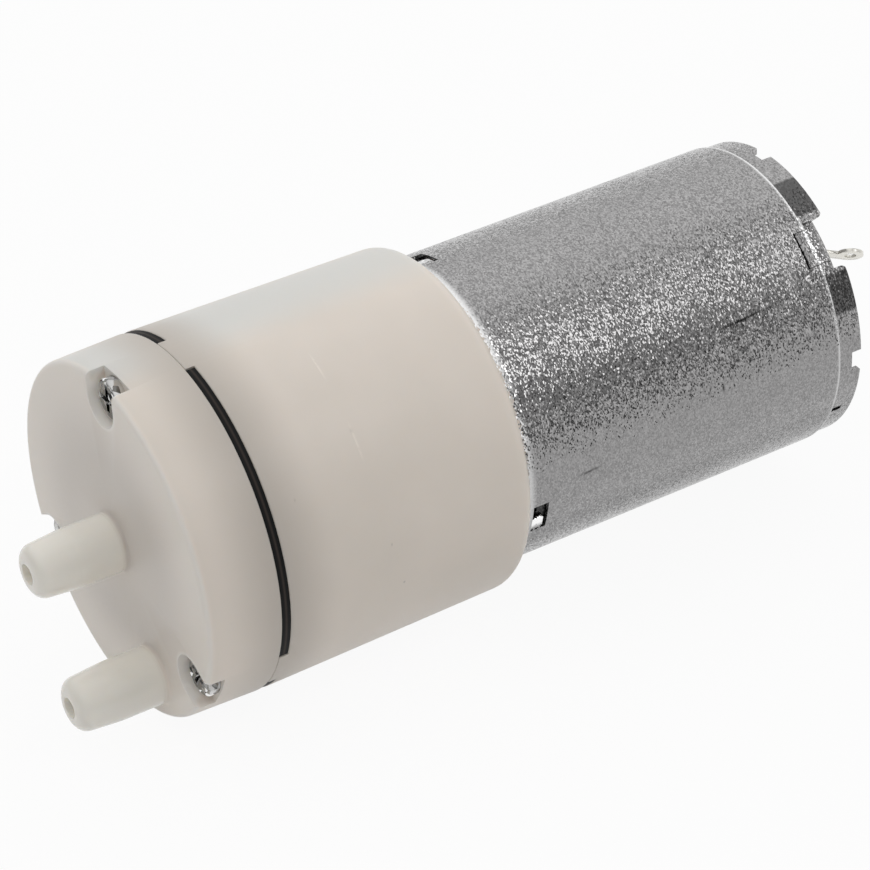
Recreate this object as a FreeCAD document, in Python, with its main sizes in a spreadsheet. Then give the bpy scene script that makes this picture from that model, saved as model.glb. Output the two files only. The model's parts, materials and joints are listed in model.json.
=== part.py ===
"""Mini diaphragm pump: a three-chamber pump head on the front of a small round motor.

Frame: X runs along the shaft, the nozzles point to -X and the motor terminals to +X.
+Z goes through the first head screw. The origin is on the shaft axis, in the middle of
the motor can's plain cylinder. Millimetres.
"""
import FreeCAD
import Part
import Sketcher
import os
from FreeCAD import Placement, Rotation, Vector

# Driving dimensions

SIZES = [
    ("can_radius", 12.0, "motor can, outer radius"),
    ("can_straight", 28.4, "motor can, length of the plain cylinder"),
    ("can_wall", 0.8, "motor can, sheet thickness"),
    ("can_edge_round", 0.9, "motor can, rounding of the front edge"),
    ("rim_length", 2.15, "can rim behind the shoulder"),
    ("rim_step", 0.2, "radial step down from the can to its rim"),
    ("boss_radius", 3.0, "bearing boss on the can front and on the end plate"),
    ("boss_length", 1.5, "bearing boss, length beyond its plate"),
    ("bearing_radius", 2.0, "sintered bush, outer radius"),
    ("bearing_length", 2.6, "sintered bush, length"),
    ("shaft_radius", 1.0, "motor shaft"),
    ("running_gap", 0.03, "radial clearance of a running fit"),
    ("loose_gap", 0.1, "clearance between parts that drop together"),
    ("overrun", 1.0, "how far a cut runs past the face that it opens"),
    ("window_offset", 0.8, "can windows, distance behind the front plane"),
    ("window_length", 1.3, "can windows, length along the shaft"),
    ("window_slit", 0.5, "can windows, part of the length that goes right through"),
    ("window_width", 3.0, "can windows, width round the can"),
    ("window_spread", 62.0, "can windows, angle either side of the key line"),
    ("key_angle", 134.0, "angle of the first end-plate key and terminal"),
    ("key_width", 2.8, "end-plate key, width"),
    ("key_reach", 1.0, "end-plate key, length past the shoulder into the can"),
    ("key_rise", 0.85, "end-plate key, length behind the shoulder"),
    ("rim_gap_width", 4.0, "opening in the rim beside each key"),
    ("notch_width", 1.9, "small notch in the rim edge"),
    ("notch_depth", 0.9, "small notch, depth"),
    ("notch_spread", 48.0, "small notches, angle either side of the key line"),
    ("crimp_slit_angle", 204.7, "short slit in the rim"),
    ("crimp_slit_length", 1.1, "short slit, length"),
    ("crimp_slit_width", 0.45, "short slit, width"),
    ("end_plate_offset", 0.4, "end plate, distance behind the shoulder"),
    ("end_plate_thickness", 1.2, "end plate, thickness"),
    ("holder_thickness", 2.0, "brush holder disc"),
    ("holder_bore", 4.0, "brush holder, centre opening radius"),
    ("terminal_inset", 3.6, "terminals, distance of their middle from the can's bore"),
    ("terminal_width", 1.0, "terminals, radial width"),
    ("terminal_eye", 1.0, "terminals, radius of the round end"),
    ("terminal_thickness", 0.25, "terminals, sheet thickness"),
    ("terminal_straight", 0.85, "terminals, straight length beyond the can rim"),
    ("terminal_bend", 26.0, "terminals, sideways bend of the leaf"),
    ("terminal_leaf", 2.3, "terminals, length from the bend to the eyelet"),
    ("terminal_gap", 0.3, "terminals, clearance in the end plate's slots"),
    ("eyelet_radius", 0.45, "terminals, solder eyelet"),
    ("magnet_start", -9.0, "magnets, front end"),
    ("magnet_length", 14.0, "magnets, length"),
    ("magnet_thickness", 2.55, "magnets, radial thickness"),
    ("magnet_gap_width", 11.0, "opening between the two magnets"),
    ("spring_thickness", 0.4, "magnet springs"),
    ("spring_length", 8.0, "magnet springs, length"),
    ("air_gap", 0.4, "gap between magnets and rotor"),
    ("pole_angle", 30.0, "first rotor pole, angle round the shaft"),
    ("core_start", -8.0, "rotor core, front end"),
    ("core_length", 12.0, "rotor core, length"),
    ("core_shoe", 1.2, "rotor core, thickness of the pole shoes"),
    ("core_slot", 1.6, "rotor core, gap between the pole shoes"),
    ("core_web", 3.0, "rotor core, width of a pole web"),
    ("core_hub_radius", 2.8, "rotor core, hub radius"),
    ("coil_side", 1.4, "windings, thickness beside a web"),
    ("coil_end", 1.8, "windings, overhang beyond the core"),
    ("commutator_start", 7.0, "commutator, front end"),
    ("commutator_length", 4.0, "commutator, length"),
    ("commutator_radius", 2.6, "commutator, outer radius"),
    ("sleeve_radius", 2.0, "commutator sleeve, outer radius"),
    ("segment_gap", 0.4, "gap between the commutator segments"),
    ("brush_height", 2.0, "brushes, radial height"),
    ("brush_width", 1.6, "brushes, width round the commutator"),
    ("brush_length", 2.4, "brushes, length along the shaft"),
    ("arm_thickness", 0.25, "brush arms, strip thickness"),
    ("post_width", 1.6, "brush arm posts, width"),
    ("post_inset", 0.5, "brush arm posts, distance of the corner from the holder's edge"),
    ("washer_radius", 1.8, "shaft washers, outer radius"),
    ("washer_thickness", 0.5, "shaft washers, thickness"),
    ("casing_length", 20.75, "pump casing, rear plane to seam"),
    ("seam_radius", 13.75, "pump head, radius at the seam"),
    ("casing_draft", 0.28, "pump casing, radius lost between the seam and the rear edge"),
    ("cover_draft", 0.15, "front cover, radius lost between the seam and the front edge"),
    ("casing_rear_round", 1.2, "pump casing, rounding of the rear edge"),
    ("cover_front_round", 0.45, "front cover, rounding of the front edge"),
    ("casing_wall", 1.87, "pump casing, side wall at the rear edge"),
    ("casing_floor", 2.0, "pump casing, thickness of the rear wall"),
    ("seam_wall", 1.4, "pump head, side wall beside the seam"),
    ("seat_thickness", 2.0, "diaphragm seat, thickness"),
    ("diaphragm_thickness", 0.7, "diaphragm sheet, thickness"),
    ("diaphragm_inset", 0.05, "diaphragm edge, depth below the seam"),
    ("cover_depth", 5.85, "front cover, seam to front face"),
    ("cover_wall", 1.5, "front cover, thickness of the front wall"),
    ("plate_thickness", 2.25, "valve plate, thickness"),
    ("chamber_gap", 0.6, "outlet chamber, clearance round the outlet valve"),
    ("chamber_wall", 1.0, "wall between the outlet and inlet chambers"),
    ("chamber_land", 1.9, "land round the inlet chamber for the valve plate's edge"),
    ("nozzle_length", 7.0, "nozzles, length in front of the cover"),
    ("nozzle_radius", 2.25, "nozzles, outer radius of the cylindrical part"),
    ("nozzle_tip_radius", 2.0, "nozzles, radius at the tip before rounding"),
    ("nozzle_taper", 3.3, "nozzles, length of the tapered end"),
    ("nozzle_round", 1.0, "nozzles, rounding of the tip"),
    ("nozzle_bore", 0.8, "nozzles, bore radius"),
    ("inlet_inset", 3.6, "inlet nozzle, distance of its axis from the head's side"),
    ("inlet_angle", 243.0, "inlet nozzle, angle round the shaft"),
    ("screw_inset", 1.85, "head screws, distance of their axes from the head's side"),
    ("screw_angle", 90.0, "first head screw, angle round the shaft"),
    ("screw_radius", 1.0, "head screws, shank radius"),
    ("screw_length", 12.0, "head screws, shank length"),
    ("screw_head_radius", 1.6, "head screws, head radius"),
    ("screw_head_height", 0.9, "head screws, head height"),
    ("screw_pocket_radius", 1.9, "screw pockets in the cover, radius"),
    ("screw_pocket_depth", 1.5, "screw pockets in the cover, depth"),
    ("screw_pocket_wall", 0.75, "screw pockets in the cover, wall round them"),
    ("screw_boss_radius", 2.2, "screw bosses, radius"),
    ("screw_boss_length", 9.0, "screw bosses in the casing, length"),
    ("screw_boss_floor", 0.75, "screw bosses in the casing, closed end"),
    ("recess_width", 0.5, "cross recess, width"),
    ("recess_depth", 0.6, "cross recess, depth"),
    ("recess_share", 0.6, "cross recess, reach as a share of the screw head"),
    ("tab_width", 4.0, "tabs that bridge the seam, width"),
    ("tab_depth", 2.5, "tabs that bridge the seam, reach inside the screw axes"),
    ("mount_angle", 90.0, "first motor screw, angle round the shaft"),
    ("mount_inset", 3.6, "motor screws, distance of their axes from the casing's bore"),
    ("mount_radius", 1.25, "motor screws, shank radius"),
    ("mount_head_radius", 2.2, "motor screws, head radius"),
    ("mount_head_height", 1.5, "motor screws, head height"),
    ("mount_bite", 0.5, "motor screws, length past the can front"),
    ("cup_angle", 30.0, "first diaphragm cup, angle round the shaft"),
    ("cup_land", 1.3, "diaphragm cups, distance from the casing's bore"),
    ("cup_web", 2.3, "diaphragm seat, web between neighbouring cup holes"),
    ("cup_wall", 0.6, "diaphragm cups, wall"),
    ("cup_floor", 0.8, "diaphragm cups, thickness of the bottom"),
    ("cup_hole_gap", 0.3, "clearance of a cup in its seat hole"),
    ("cup_arm_gap", 0.6, "clearance between a cup and the frame's arm"),
    ("bulb_gap", 0.3, "clearance round the end bulbs of stems"),
    ("cup_stem_radius", 0.95, "diaphragm stems, radius"),
    ("cup_bulb_radius", 1.5, "diaphragm stems, radius of the end bulb"),
    ("cup_bulb_length", 1.2, "diaphragm stems, length of the end bulb"),
    ("valve_radius", 1.9, "inlet valves, flap radius"),
    ("flap_gap", 0.2, "inlet valves, clearance between a flap and the cup's wall"),
    ("valve_flap", 0.4, "valve flaps, thickness"),
    ("valve_stem_radius", 0.5, "valve stems, radius"),
    ("valve_bulb_radius", 0.8, "valve stems, radius of the end bulb"),
    ("valve_bulb_length", 0.6, "valve stems, length of the end bulb"),
    ("port_radius", 0.45, "small air holes in the valve plate"),
    ("port_cover", 0.2, "valve flaps, reach past their air holes"),
    ("outlet_port_shift", 2.7, "outlet air holes, distance inward from the cup's axis"),
    ("outlet_port_spread", 0.88, "outlet air holes, distance either side of the cup's line"),
    ("tilt", 10.0, "tilt of the crank pin against the shaft"),
    ("swing_offset", 5.35, "swing centre, distance behind the seam"),
    ("frame_thickness", 1.6, "swing frame arms, thickness"),
    ("frame_arm_width", 3.6, "swing frame arms, width"),
    ("frame_hub_radius", 2.8, "swing frame hub, radius"),
    ("frame_hole_radius", 1.3, "swing frame, holes for the diaphragm stems"),
    ("frame_stem_radius", 1.7, "swing frame stem, radius"),
    ("frame_stem_length", 6.4, "swing frame stem, end from the swing centre"),
    ("frame_bore_start", 1.0, "swing frame bore, blind end from the swing centre"),
    ("pin_radius", 0.75, "crank pin, radius"),
    ("pin_end", 9.4, "crank pin, rear end from the swing centre"),
    ("wheel_radius", 5.2, "eccentric wheel, radius"),
    ("wheel_thickness", 4.0, "eccentric wheel, thickness"),
    ("wheel_hub_radius", 3.4, "eccentric wheel hub, radius"),
    ("wheel_hub_gap", 0.4, "gap between the wheel hub and the casing floor"),
    ("wheel_hub_length", 1.4, "eccentric wheel hub, length"),
    ("shaft_bite", 2.8, "length of the shaft inside the wheel and its hub"),
]

# Places that follow from the driving dimensions

PLACES = [
    ("can_front", "-Size.can_straight / 2"),
    ("can_back", "Size.can_straight / 2"),
    ("can_inside", "At.can_front + Size.can_wall"),
    ("can_bore", "Size.can_radius - Size.can_wall"),
    ("rim_radius", "Size.can_radius - Size.rim_step"),
    ("rim_end", "At.can_back + Size.rim_length"),
    ("boss_front", "At.can_front - Size.boss_length"),
    ("bearing_back", "At.boss_front + Size.bearing_length"),
    ("plate_front", "At.can_back + Size.end_plate_offset"),
    ("plate_back", "At.plate_front + Size.end_plate_thickness"),
    ("plate_radius", "At.can_bore - Size.loose_gap / 2"),
    ("rear_boss_end", "At.plate_back + Size.boss_length"),
    ("rear_bearing_front", "At.rear_boss_end - Size.bearing_length"),
    ("key_front", "At.can_back - Size.key_reach"),
    ("key_back", "At.can_back + Size.key_rise"),
    ("holder_front", "At.plate_front - Size.holder_thickness"),
    ("holder_radius", "At.can_bore - 2 * Size.loose_gap"),
    ("terminal_pitch", "At.can_bore - Size.terminal_inset"),
    ("leaf_start", "At.rim_end + Size.terminal_straight"),
    ("eye_shift", "Size.terminal_eye - Size.terminal_width / 2"),
    ("magnet_outer", "At.can_bore - Size.loose_gap / 2"),
    ("magnet_inner", "At.magnet_outer - Size.magnet_thickness"),
    ("spring_start", "Size.magnet_start + (Size.magnet_length - Size.spring_length) / 2"),
    ("core_radius", "At.magnet_inner - Size.air_gap"),
    ("shoe_inner", "At.core_radius - Size.core_shoe"),
    ("brush_inner", "Size.commutator_radius + Size.running_gap"),
    ("brush_outer", "At.brush_inner + Size.brush_height"),
    ("brush_front", "Size.commutator_start + (Size.commutator_length - Size.brush_length) / 2"),
    ("brush_angle", "Size.key_angle - 90"),
    ("post_inner", "At.brush_outer + Size.arm_thickness"),
    ("post_outer", "At.post_inner + Size.post_width"),
    ("arm_span", "sqrt((At.holder_radius - Size.post_inset) ^ 2 - At.post_outer ^ 2)"),
    ("rear_washer_front", "At.rear_bearing_front - Size.loose_gap - Size.washer_thickness"),
    ("shaft_back", "At.rear_boss_end - Size.loose_gap"),
    ("casing_rear_radius", "Size.seam_radius - Size.casing_draft"),
    ("cover_front_radius", "Size.seam_radius - Size.cover_draft"),
    ("casing_bore", "At.casing_rear_radius - Size.casing_wall"),
    ("seam_pocket", "Size.seam_radius - Size.seam_wall"),
    ("screw_pitch", "Size.seam_radius - Size.screw_inset"),
    ("tab_inner", "At.screw_pitch - Size.tab_depth"),
    ("mount_pitch", "At.casing_bore - Size.mount_inset"),
    ("inlet_pitch", "Size.seam_radius - Size.inlet_inset"),
    ("cup_reach", "At.casing_bore - Size.cup_land"),
    ("cup_radius", "(sqrt(3) * At.cup_reach - 2 * Size.cup_hole_gap - Size.cup_web) / (2 + sqrt(3))"),
    ("cup_pitch", "At.cup_reach - At.cup_radius"),
    ("valve_pitch", "At.cup_reach - Size.cup_wall - Size.flap_gap - Size.valve_radius"),
    ("port_pitch", "Size.valve_radius - Size.port_radius - Size.port_cover"),
    ("outlet_port_pitch", "At.cup_pitch - Size.outlet_port_shift"),
    ("outlet_valve_radius", "At.outlet_port_pitch + Size.port_radius + Size.port_cover"),
    ("outlet_chamber", "At.outlet_valve_radius + Size.chamber_gap"),
    ("inlet_chamber_inner", "At.outlet_chamber + Size.chamber_wall"),
    ("inlet_chamber_outer", "At.seam_pocket - Size.chamber_land"),
    ("casing_front", "At.can_front - Size.casing_length"),
    ("casing_inside", "At.can_front - Size.casing_floor"),
    ("seat_back", "At.casing_front + Size.seat_thickness"),
    ("seat_radius", "At.seam_pocket - Size.loose_gap"),
    ("boss_back", "At.casing_front + Size.screw_boss_length"),
    ("cover_back", "At.casing_front - Size.diaphragm_thickness"),
    ("cover_front", "At.cover_back - Size.cover_depth"),
    ("cover_inside", "At.cover_front + Size.cover_wall"),
    ("valve_plate_front", "At.cover_back - Size.plate_thickness"),
    ("diaphragm_radius", "Size.seam_radius - Size.diaphragm_inset"),
    ("nozzle_tip", "At.cover_front - Size.nozzle_length"),
    ("pocket_floor", "At.cover_front + Size.screw_pocket_depth"),
    ("notch_radius", "Size.screw_boss_radius + Size.loose_gap"),
    ("swing_centre", "At.casing_front + Size.swing_offset"),
    ("wheel_back", "At.casing_inside - Size.wheel_hub_gap - Size.wheel_hub_length"),
    ("wheel_front", "At.wheel_back - Size.wheel_thickness"),
    ("wheel_hub_end", "At.wheel_back + Size.wheel_hub_length"),
    ("shaft_front", "At.wheel_hub_end - Size.shaft_bite"),
]

# Turns of the patterns in degrees, and the way that the crank pin points at rest

THIRDS = (0, 120, 240)
BETWEEN_THIRDS = (60, 180, 300)
HALVES = (0, 180)
PIN_DOWN = 270

doc = FreeCAD.newDocument("DiaphragmPump")
SUBPARTS = []


def make_sheets():
    """The sheet of driving dimensions, and the sheet of places worked out from it."""
    size = doc.addObject("Spreadsheet::Sheet", "Size")
    for row, (alias, number, note) in enumerate(SIZES, 1):
        size.set("A%d" % row, note)
        size.set("B%d" % row, str(number))
        size.setAlias("B%d" % row, alias)
    doc.recompute()
    places = doc.addObject("Spreadsheet::Sheet", "At")
    for row, (alias, _) in enumerate(PLACES, 1):
        places.setAlias("B%d" % row, alias)
    for row, (_, formula) in enumerate(PLACES, 1):
        places.set("B%d" % row, "=" + formula.replace("At.", ""))
    doc.recompute()
    return size


size_sheet = make_sheets()


def number(expression):
    """Value of an expression in the two sheets' names."""
    return float(size_sheet.evalExpression(expression))


def bind(thing, **expressions):
    """Tie properties to expressions."""
    for name, expression in expressions.items():
        thing.setExpression(name, expression)
    return thing


def stand(thing, x, reach="0", angle="0", side="0"):
    """Base point at a distance from the shaft axis, shifted sideways by half a width."""
    thing.setExpression("Placement.Base.x", x)
    y = "(%s) * cos(%s) + (%s) / 2 * sin(%s)" % (reach, angle, side, angle)
    z = "(%s) * sin(%s) - (%s) / 2 * cos(%s)" % (reach, angle, side, angle)
    thing.setExpression("Placement.Base.y", y)
    thing.setExpression("Placement.Base.z", z)


def rod(name, x, length, radius, reach="0", angle="0"):
    """Cylinder along +X from x, its axis at reach and angle from the shaft axis."""
    thing = doc.addObject("Part::Cylinder", name)
    thing.Placement = Placement(Vector(), Rotation(Vector(0, 1, 0), 90))
    bind(thing, Radius=radius, Height=length)
    stand(thing, x, reach, angle)
    return thing


def rod_to(name, start, end, radius, reach="0", angle="0"):
    """Cylinder along X between two places."""
    return rod(name, start, "(%s) - (%s)" % (end, start), radius, reach, angle)


def cone(name, x, length, radius, end_radius, reach="0", angle="0"):
    """Cone along +X from x."""
    thing = doc.addObject("Part::Cone", name)
    thing.Placement = Placement(Vector(), Rotation(Vector(0, 1, 0), 90))
    bind(thing, Radius1=radius, Radius2=end_radius, Height=length)
    stand(thing, x, reach, angle)
    return thing


def block(name, start, end, inner, outer, width, angle="0", shift="0"):
    """Box from start to end along X and from inner to outer along the given angle."""
    thing = doc.addObject("Part::Box", name)
    thing.Placement = Placement(Vector(), Rotation(Vector(1, 0, 0), 1))
    bind(thing, Length="(%s) - (%s)" % (end, start), Width="(%s) - (%s)" % (outer, inner), Height=width)
    thing.setExpression("Placement.Rotation.Angle", angle)
    stand(thing, start, inner, angle, "(%s) - 2 * (%s)" % (width, shift))
    return thing


def tube(name, start, end, inner, outer):
    """Ring between two radii."""
    solid = rod_to(name + "_outside", start, end, outer)
    return cut(name, solid, [rod_to(name + "_inside", start, end, inner)])


def cut(name, base, tools):
    """Base without the tools."""
    thing = doc.addObject("Part::Cut", name)
    thing.Base = base
    thing.Tool = tools[0] if len(tools) == 1 else join(name + "_tools", tools)
    return thing


def join(name, shapes):
    """Several shapes made one solid."""
    thing = doc.addObject("Part::MultiFuse", name)
    thing.Shapes = shapes
    return thing


def shared(name, first, second):
    """The space that two shapes share."""
    thing = doc.addObject("Part::MultiCommon", name)
    thing.Shapes = [first, second]
    return thing


def group(name, shapes):
    """Several solids in one sub-part."""
    thing = doc.addObject("Part::Compound", name)
    thing.Links = shapes
    return thing


def across(name, direction, x, length, radius, shift="0"):
    """Cylinder across the X axis at x, half of it on each side, or shifted along Y."""
    thing = doc.addObject("Part::Cylinder", name)
    thing.Placement = Placement(Vector(), Rotation(Vector(0, 0, 1), direction))
    bind(thing, Radius=radius, Height=length)
    thing.setExpression("Placement.Base.x", x)
    thing.setExpression("Placement.Base.y", "%s - (%s) / 2 * %d" % (shift, length, direction.y))
    thing.setExpression("Placement.Base.z", "-(%s) / 2 * %d" % (length, direction.z))
    return thing


def leaning(thing, axis, angle, x):
    """Turn a shape made about its own origin, and put it at x on the shaft axis."""
    thing.Placement = Placement(Vector(), Rotation(axis, 1))
    thing.setExpression("Placement.Rotation.Angle", angle)
    thing.setExpression("Placement.Base.x", x)
    return thing


def tilted(thing):
    """Put a shape made about its own origin at the swing centre, leaning with the pin."""
    return leaning(thing, Vector(0, 1, 0), "Size.tilt", "At.swing_centre")


def subpart(thing, label):
    """Name a finished sub-part; the label is its file's name."""
    thing.Label = label
    SUBPARTS.append(thing)
    return thing


def profile_sketch(body, points):
    """Closed profile in the XZ plane, each corner held at its place and radius."""
    sketch = body.newObject("Sketcher::SketchObject", body.Name + "_profile")
    plane = [item for item in body.Origin.OriginFeatures if item.Role == "XZ_Plane"][0]
    sketch.AttachmentSupport = (plane, "")
    sketch.MapMode = "FlatFace"
    corners = [Vector(number(x), number(radius), 0) for x, radius in points]
    count = len(corners)
    for index in range(count):
        sketch.addGeometry(Part.LineSegment(corners[index], corners[(index + 1) % count]), False)
    for index in range(count):
        sketch.addConstraint(Sketcher.Constraint("Coincident", index, 2, (index + 1) % count, 1))
    for index, (x, radius) in enumerate(points):
        place = Sketcher.Constraint("DistanceX", -1, 1, index, 1, corners[index].x)
        height = Sketcher.Constraint("DistanceY", -1, 1, index, 1, corners[index].y)
        sketch.setExpression("Constraints[%d]" % sketch.addConstraint(place), x)
        sketch.setExpression("Constraints[%d]" % sketch.addConstraint(height), radius)
    return sketch


def round_edge(body, x, radius, rounding):
    """Fillet the circular edges of the body's last feature that have this place and radius."""
    doc.recompute()
    base = body.Tip
    place = number(x)
    size = number(radius)
    names = []
    for index, edge in enumerate(base.Shape.Edges, 1):
        if isinstance(edge.Curve, Part.Circle):
            if abs(edge.Curve.Center.x - place) < 1e-4 and abs(edge.Curve.Radius - size) < 1e-4:
                names.append("Edge%d" % index)
    fillet = body.newObject("PartDesign::Fillet", body.Name + "_round")
    fillet.Base = (base, names)
    fillet.Radius = number(rounding)
    fillet.setExpression("Radius", rounding)
    return fillet


def turned(name, points, rounded=()):
    """Body turned about the X axis from its half profile, with some edges rounded."""
    body = doc.addObject("PartDesign::Body", name)
    sketch = profile_sketch(body, points)
    turn = body.newObject("PartDesign::Revolution", name + "_turn")
    turn.Profile = sketch
    turn.ReferenceAxis = (sketch, ["H_Axis"])
    turn.Angle = 360
    sketch.Visibility = False
    for x, radius, rounding in rounded:
        round_edge(body, x, radius, rounding)
    return body


def at(first, turn):
    """Angle expression: the first angle plus a turn."""
    return "%s + %d" % (first, turn)


def before(place):
    """Where a cut that opens the face at this place starts."""
    return "(%s) - Size.overrun" % place


def beyond(place):
    """Where a cut that opens the face at this place ends."""
    return "(%s) + Size.overrun" % place


# Front cover with both nozzles

def nozzle(name, reach, angle):
    """Tapered nozzle with a rounded tip, reaching back through the cover's wall."""
    body = turned(name, [
        ("At.nozzle_tip", "0"),
        ("At.nozzle_tip", "Size.nozzle_tip_radius"),
        ("At.nozzle_tip + Size.nozzle_taper", "Size.nozzle_radius"),
        ("At.cover_inside", "Size.nozzle_radius"),
        ("At.cover_inside", "0"),
    ], [("At.nozzle_tip", "Size.nozzle_tip_radius", "Size.nozzle_round")])
    stand(body, "0", reach, angle)
    return body


def nozzle_hole(name, reach, angle):
    """Bore of a nozzle, into the chamber behind it."""
    end = "At.cover_inside + Size.loose_gap"
    return rod_to(name, before("At.nozzle_tip"), end, "Size.nozzle_bore", reach, angle)


def front_cover():
    shell = turned("CoverShell", [
        ("At.cover_front", "0"),
        ("At.cover_front", "At.cover_front_radius"),
        ("At.cover_back", "Size.seam_radius"),
        ("At.cover_back", "At.seam_pocket"),
        ("At.valve_plate_front", "At.seam_pocket"),
        ("At.valve_plate_front", "At.inlet_chamber_outer"),
        ("At.cover_inside", "At.inlet_chamber_outer"),
        ("At.cover_inside", "At.inlet_chamber_inner"),
        ("At.valve_plate_front", "At.inlet_chamber_inner"),
        ("At.valve_plate_front", "At.outlet_chamber"),
        ("At.cover_inside", "At.outlet_chamber"),
        ("At.cover_inside", "0"),
    ], [("At.cover_front", "At.cover_front_radius", "Size.cover_front_round")])
    bosses = []
    holes = []
    for turn in THIRDS:
        angle = at("Size.screw_angle", turn)
        bosses.append(rod_to("CoverBoss", "At.cover_inside", "At.cover_back",
                             "Size.screw_boss_radius", "At.screw_pitch", angle))
        bosses.append(rod_to("CoverPocketWall", "At.cover_inside", "At.valve_plate_front",
                             "Size.screw_pocket_radius + Size.screw_pocket_wall", "At.screw_pitch", angle))
        holes.append(rod_to("CoverPocket", before("At.cover_front"), "At.pocket_floor",
                            "Size.screw_pocket_radius", "At.screw_pitch", angle))
        holes.append(block("CoverPocketMouth", before("At.cover_front"), "At.pocket_floor",
                           "At.screw_pitch", beyond("Size.seam_radius"),
                           "2 * Size.screw_pocket_radius", angle))
        holes.append(rod_to("CoverScrewHole", "At.cover_front", beyond("At.cover_back"),
                            "Size.screw_radius + Size.loose_gap", "At.screw_pitch", angle))
    outline = rod_to("CoverOutline", "At.cover_inside", "At.cover_back", "At.cover_front_radius")
    trimmed = shared("CoverBossesTrimmed", join("CoverBosses", bosses), outline)
    outlet = nozzle("OutletNozzle", "0", "0")
    inlet = nozzle("InletNozzle", "At.inlet_pitch", "Size.inlet_angle")
    solid = join("CoverSolid", [shell, trimmed, outlet, inlet])
    holes.append(nozzle_hole("OutletHole", "0", "0"))
    holes.append(nozzle_hole("InletHole", "At.inlet_pitch", "Size.inlet_angle"))
    subpart(cut("FrontCover", solid, holes), "front_cover")


# Valve plate and its rubber valves

def valve_plate():
    disc = rod_to("PlateDisc", "At.valve_plate_front", "At.cover_back", "At.seat_radius")
    start = before("At.valve_plate_front")
    end = beyond("At.cover_back")
    holes = [rod_to("PlateOutletStem", start, end, "Size.valve_stem_radius")]
    for turn in THIRDS:
        cup = at("Size.cup_angle", turn)
        holes.append(rod_to("PlateNotch", start, end, "At.notch_radius",
                            "At.screw_pitch", at("Size.screw_angle", turn)))
        holes.append(rod_to("PlateInletStem", start, end, "Size.valve_stem_radius", "At.valve_pitch", cup))
        for side in (-1, 1):
            inlet = "%s + (%d) * At.port_pitch / At.valve_pitch * 180 / pi" % (cup, side)
            outlet = "%s + (%d) * Size.outlet_port_spread / At.outlet_port_pitch * 180 / pi" % (cup, side)
            holes.append(rod_to("PlateInletPort", start, end, "Size.port_radius",
                                "At.valve_pitch", inlet))
            holes.append(rod_to("PlateOutletPort", start, end, "Size.port_radius",
                                "At.outlet_port_pitch", outlet))
        holes.append(rod_to("PlateOuterPort", start, end, "Size.port_radius",
                            "At.valve_pitch + At.port_pitch", cup))
    subpart(cut("ValvePlate", disc, holes), "valve_plate")


def inlet_valves():
    """One-way flaps on the chamber side, each held by a stem through the plate."""
    for index, turn in enumerate(THIRDS, 1):
        angle = at("Size.cup_angle", turn)
        name = "InletValve%d" % index
        flap = rod(name + "_flap", "At.cover_back", "Size.valve_flap", "Size.valve_radius",
                   "At.valve_pitch", angle)
        stem = rod_to(name + "_stem", "At.valve_plate_front - Size.valve_bulb_length", "At.cover_back",
                      "Size.valve_stem_radius", "At.valve_pitch", angle)
        bulb = rod_to(name + "_bulb", "At.valve_plate_front - Size.valve_bulb_length",
                      "At.valve_plate_front", "Size.valve_bulb_radius", "At.valve_pitch", angle)
        subpart(join(name, [flap, stem, bulb]), "inlet_valve_%d" % index)


def outlet_valve():
    """One round flap on the cover side over all the outlet holes."""
    flap = rod_to("OutletFlap", "At.valve_plate_front - Size.valve_flap", "At.valve_plate_front",
                  "At.outlet_valve_radius")
    stem = rod_to("OutletStem", "At.valve_plate_front", "At.cover_back + Size.valve_bulb_length",
                  "Size.valve_stem_radius")
    bulb = rod("OutletBulb", "At.cover_back", "Size.valve_bulb_length", "Size.valve_bulb_radius")
    subpart(join("OutletValve", [flap, stem, bulb]), "outlet_valve")


# Diaphragm with three cups, and the seat that holds it

def cup_place(turn):
    """Where an arm's middle lies along X at rest, with the crank pin at its lowest."""
    lean = "tan(Size.tilt) * cos(%s - %d)" % (at("Size.cup_angle", turn), PIN_DOWN)
    return "At.swing_centre - At.cup_pitch * " + lean


def diaphragm():
    sheet = rod_to("DiaphragmSheet", "At.cover_back", "At.casing_front", "At.diaphragm_radius")
    solids = [sheet]
    hollows = [rod_to("DiaphragmCentre", before("At.cover_back"), beyond("At.casing_front"),
                      "Size.valve_bulb_radius + Size.bulb_gap")]
    for turn in THIRDS:
        angle = at("Size.cup_angle", turn)
        arm = cup_place(turn)
        bottom = "%s - Size.frame_thickness / 2 - Size.cup_arm_gap" % arm
        bulb = "%s + Size.frame_thickness / 2 + Size.bulb_gap" % arm
        solids.append(rod_to("Cup", "At.casing_front", bottom, "At.cup_radius", "At.cup_pitch", angle))
        solids.append(rod_to("CupStem", bottom, bulb, "Size.cup_stem_radius", "At.cup_pitch", angle))
        solids.append(cone("CupBulb", bulb, "Size.cup_bulb_length", "Size.cup_bulb_radius",
                           "Size.cup_stem_radius", "At.cup_pitch", angle))
        hollows.append(rod_to("CupHollow", before("At.cover_back"), "%s - Size.cup_floor" % bottom,
                              "At.cup_radius - Size.cup_wall", "At.cup_pitch", angle))
        hollows.append(block("DiaphragmNotch", before("At.cover_back"), beyond("At.casing_front"),
                             "At.tab_inner - Size.loose_gap", beyond("Size.seam_radius"),
                             "Size.tab_width + 2 * Size.loose_gap", at("Size.screw_angle", turn)))
        hollows.append(rod_to("DiaphragmBossHole", before("At.cover_back"), beyond("At.casing_front"),
                              "At.notch_radius", "At.screw_pitch", at("Size.screw_angle", turn)))
    subpart(cut("Diaphragm", join("DiaphragmSolid", solids), hollows), "diaphragm")


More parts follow.
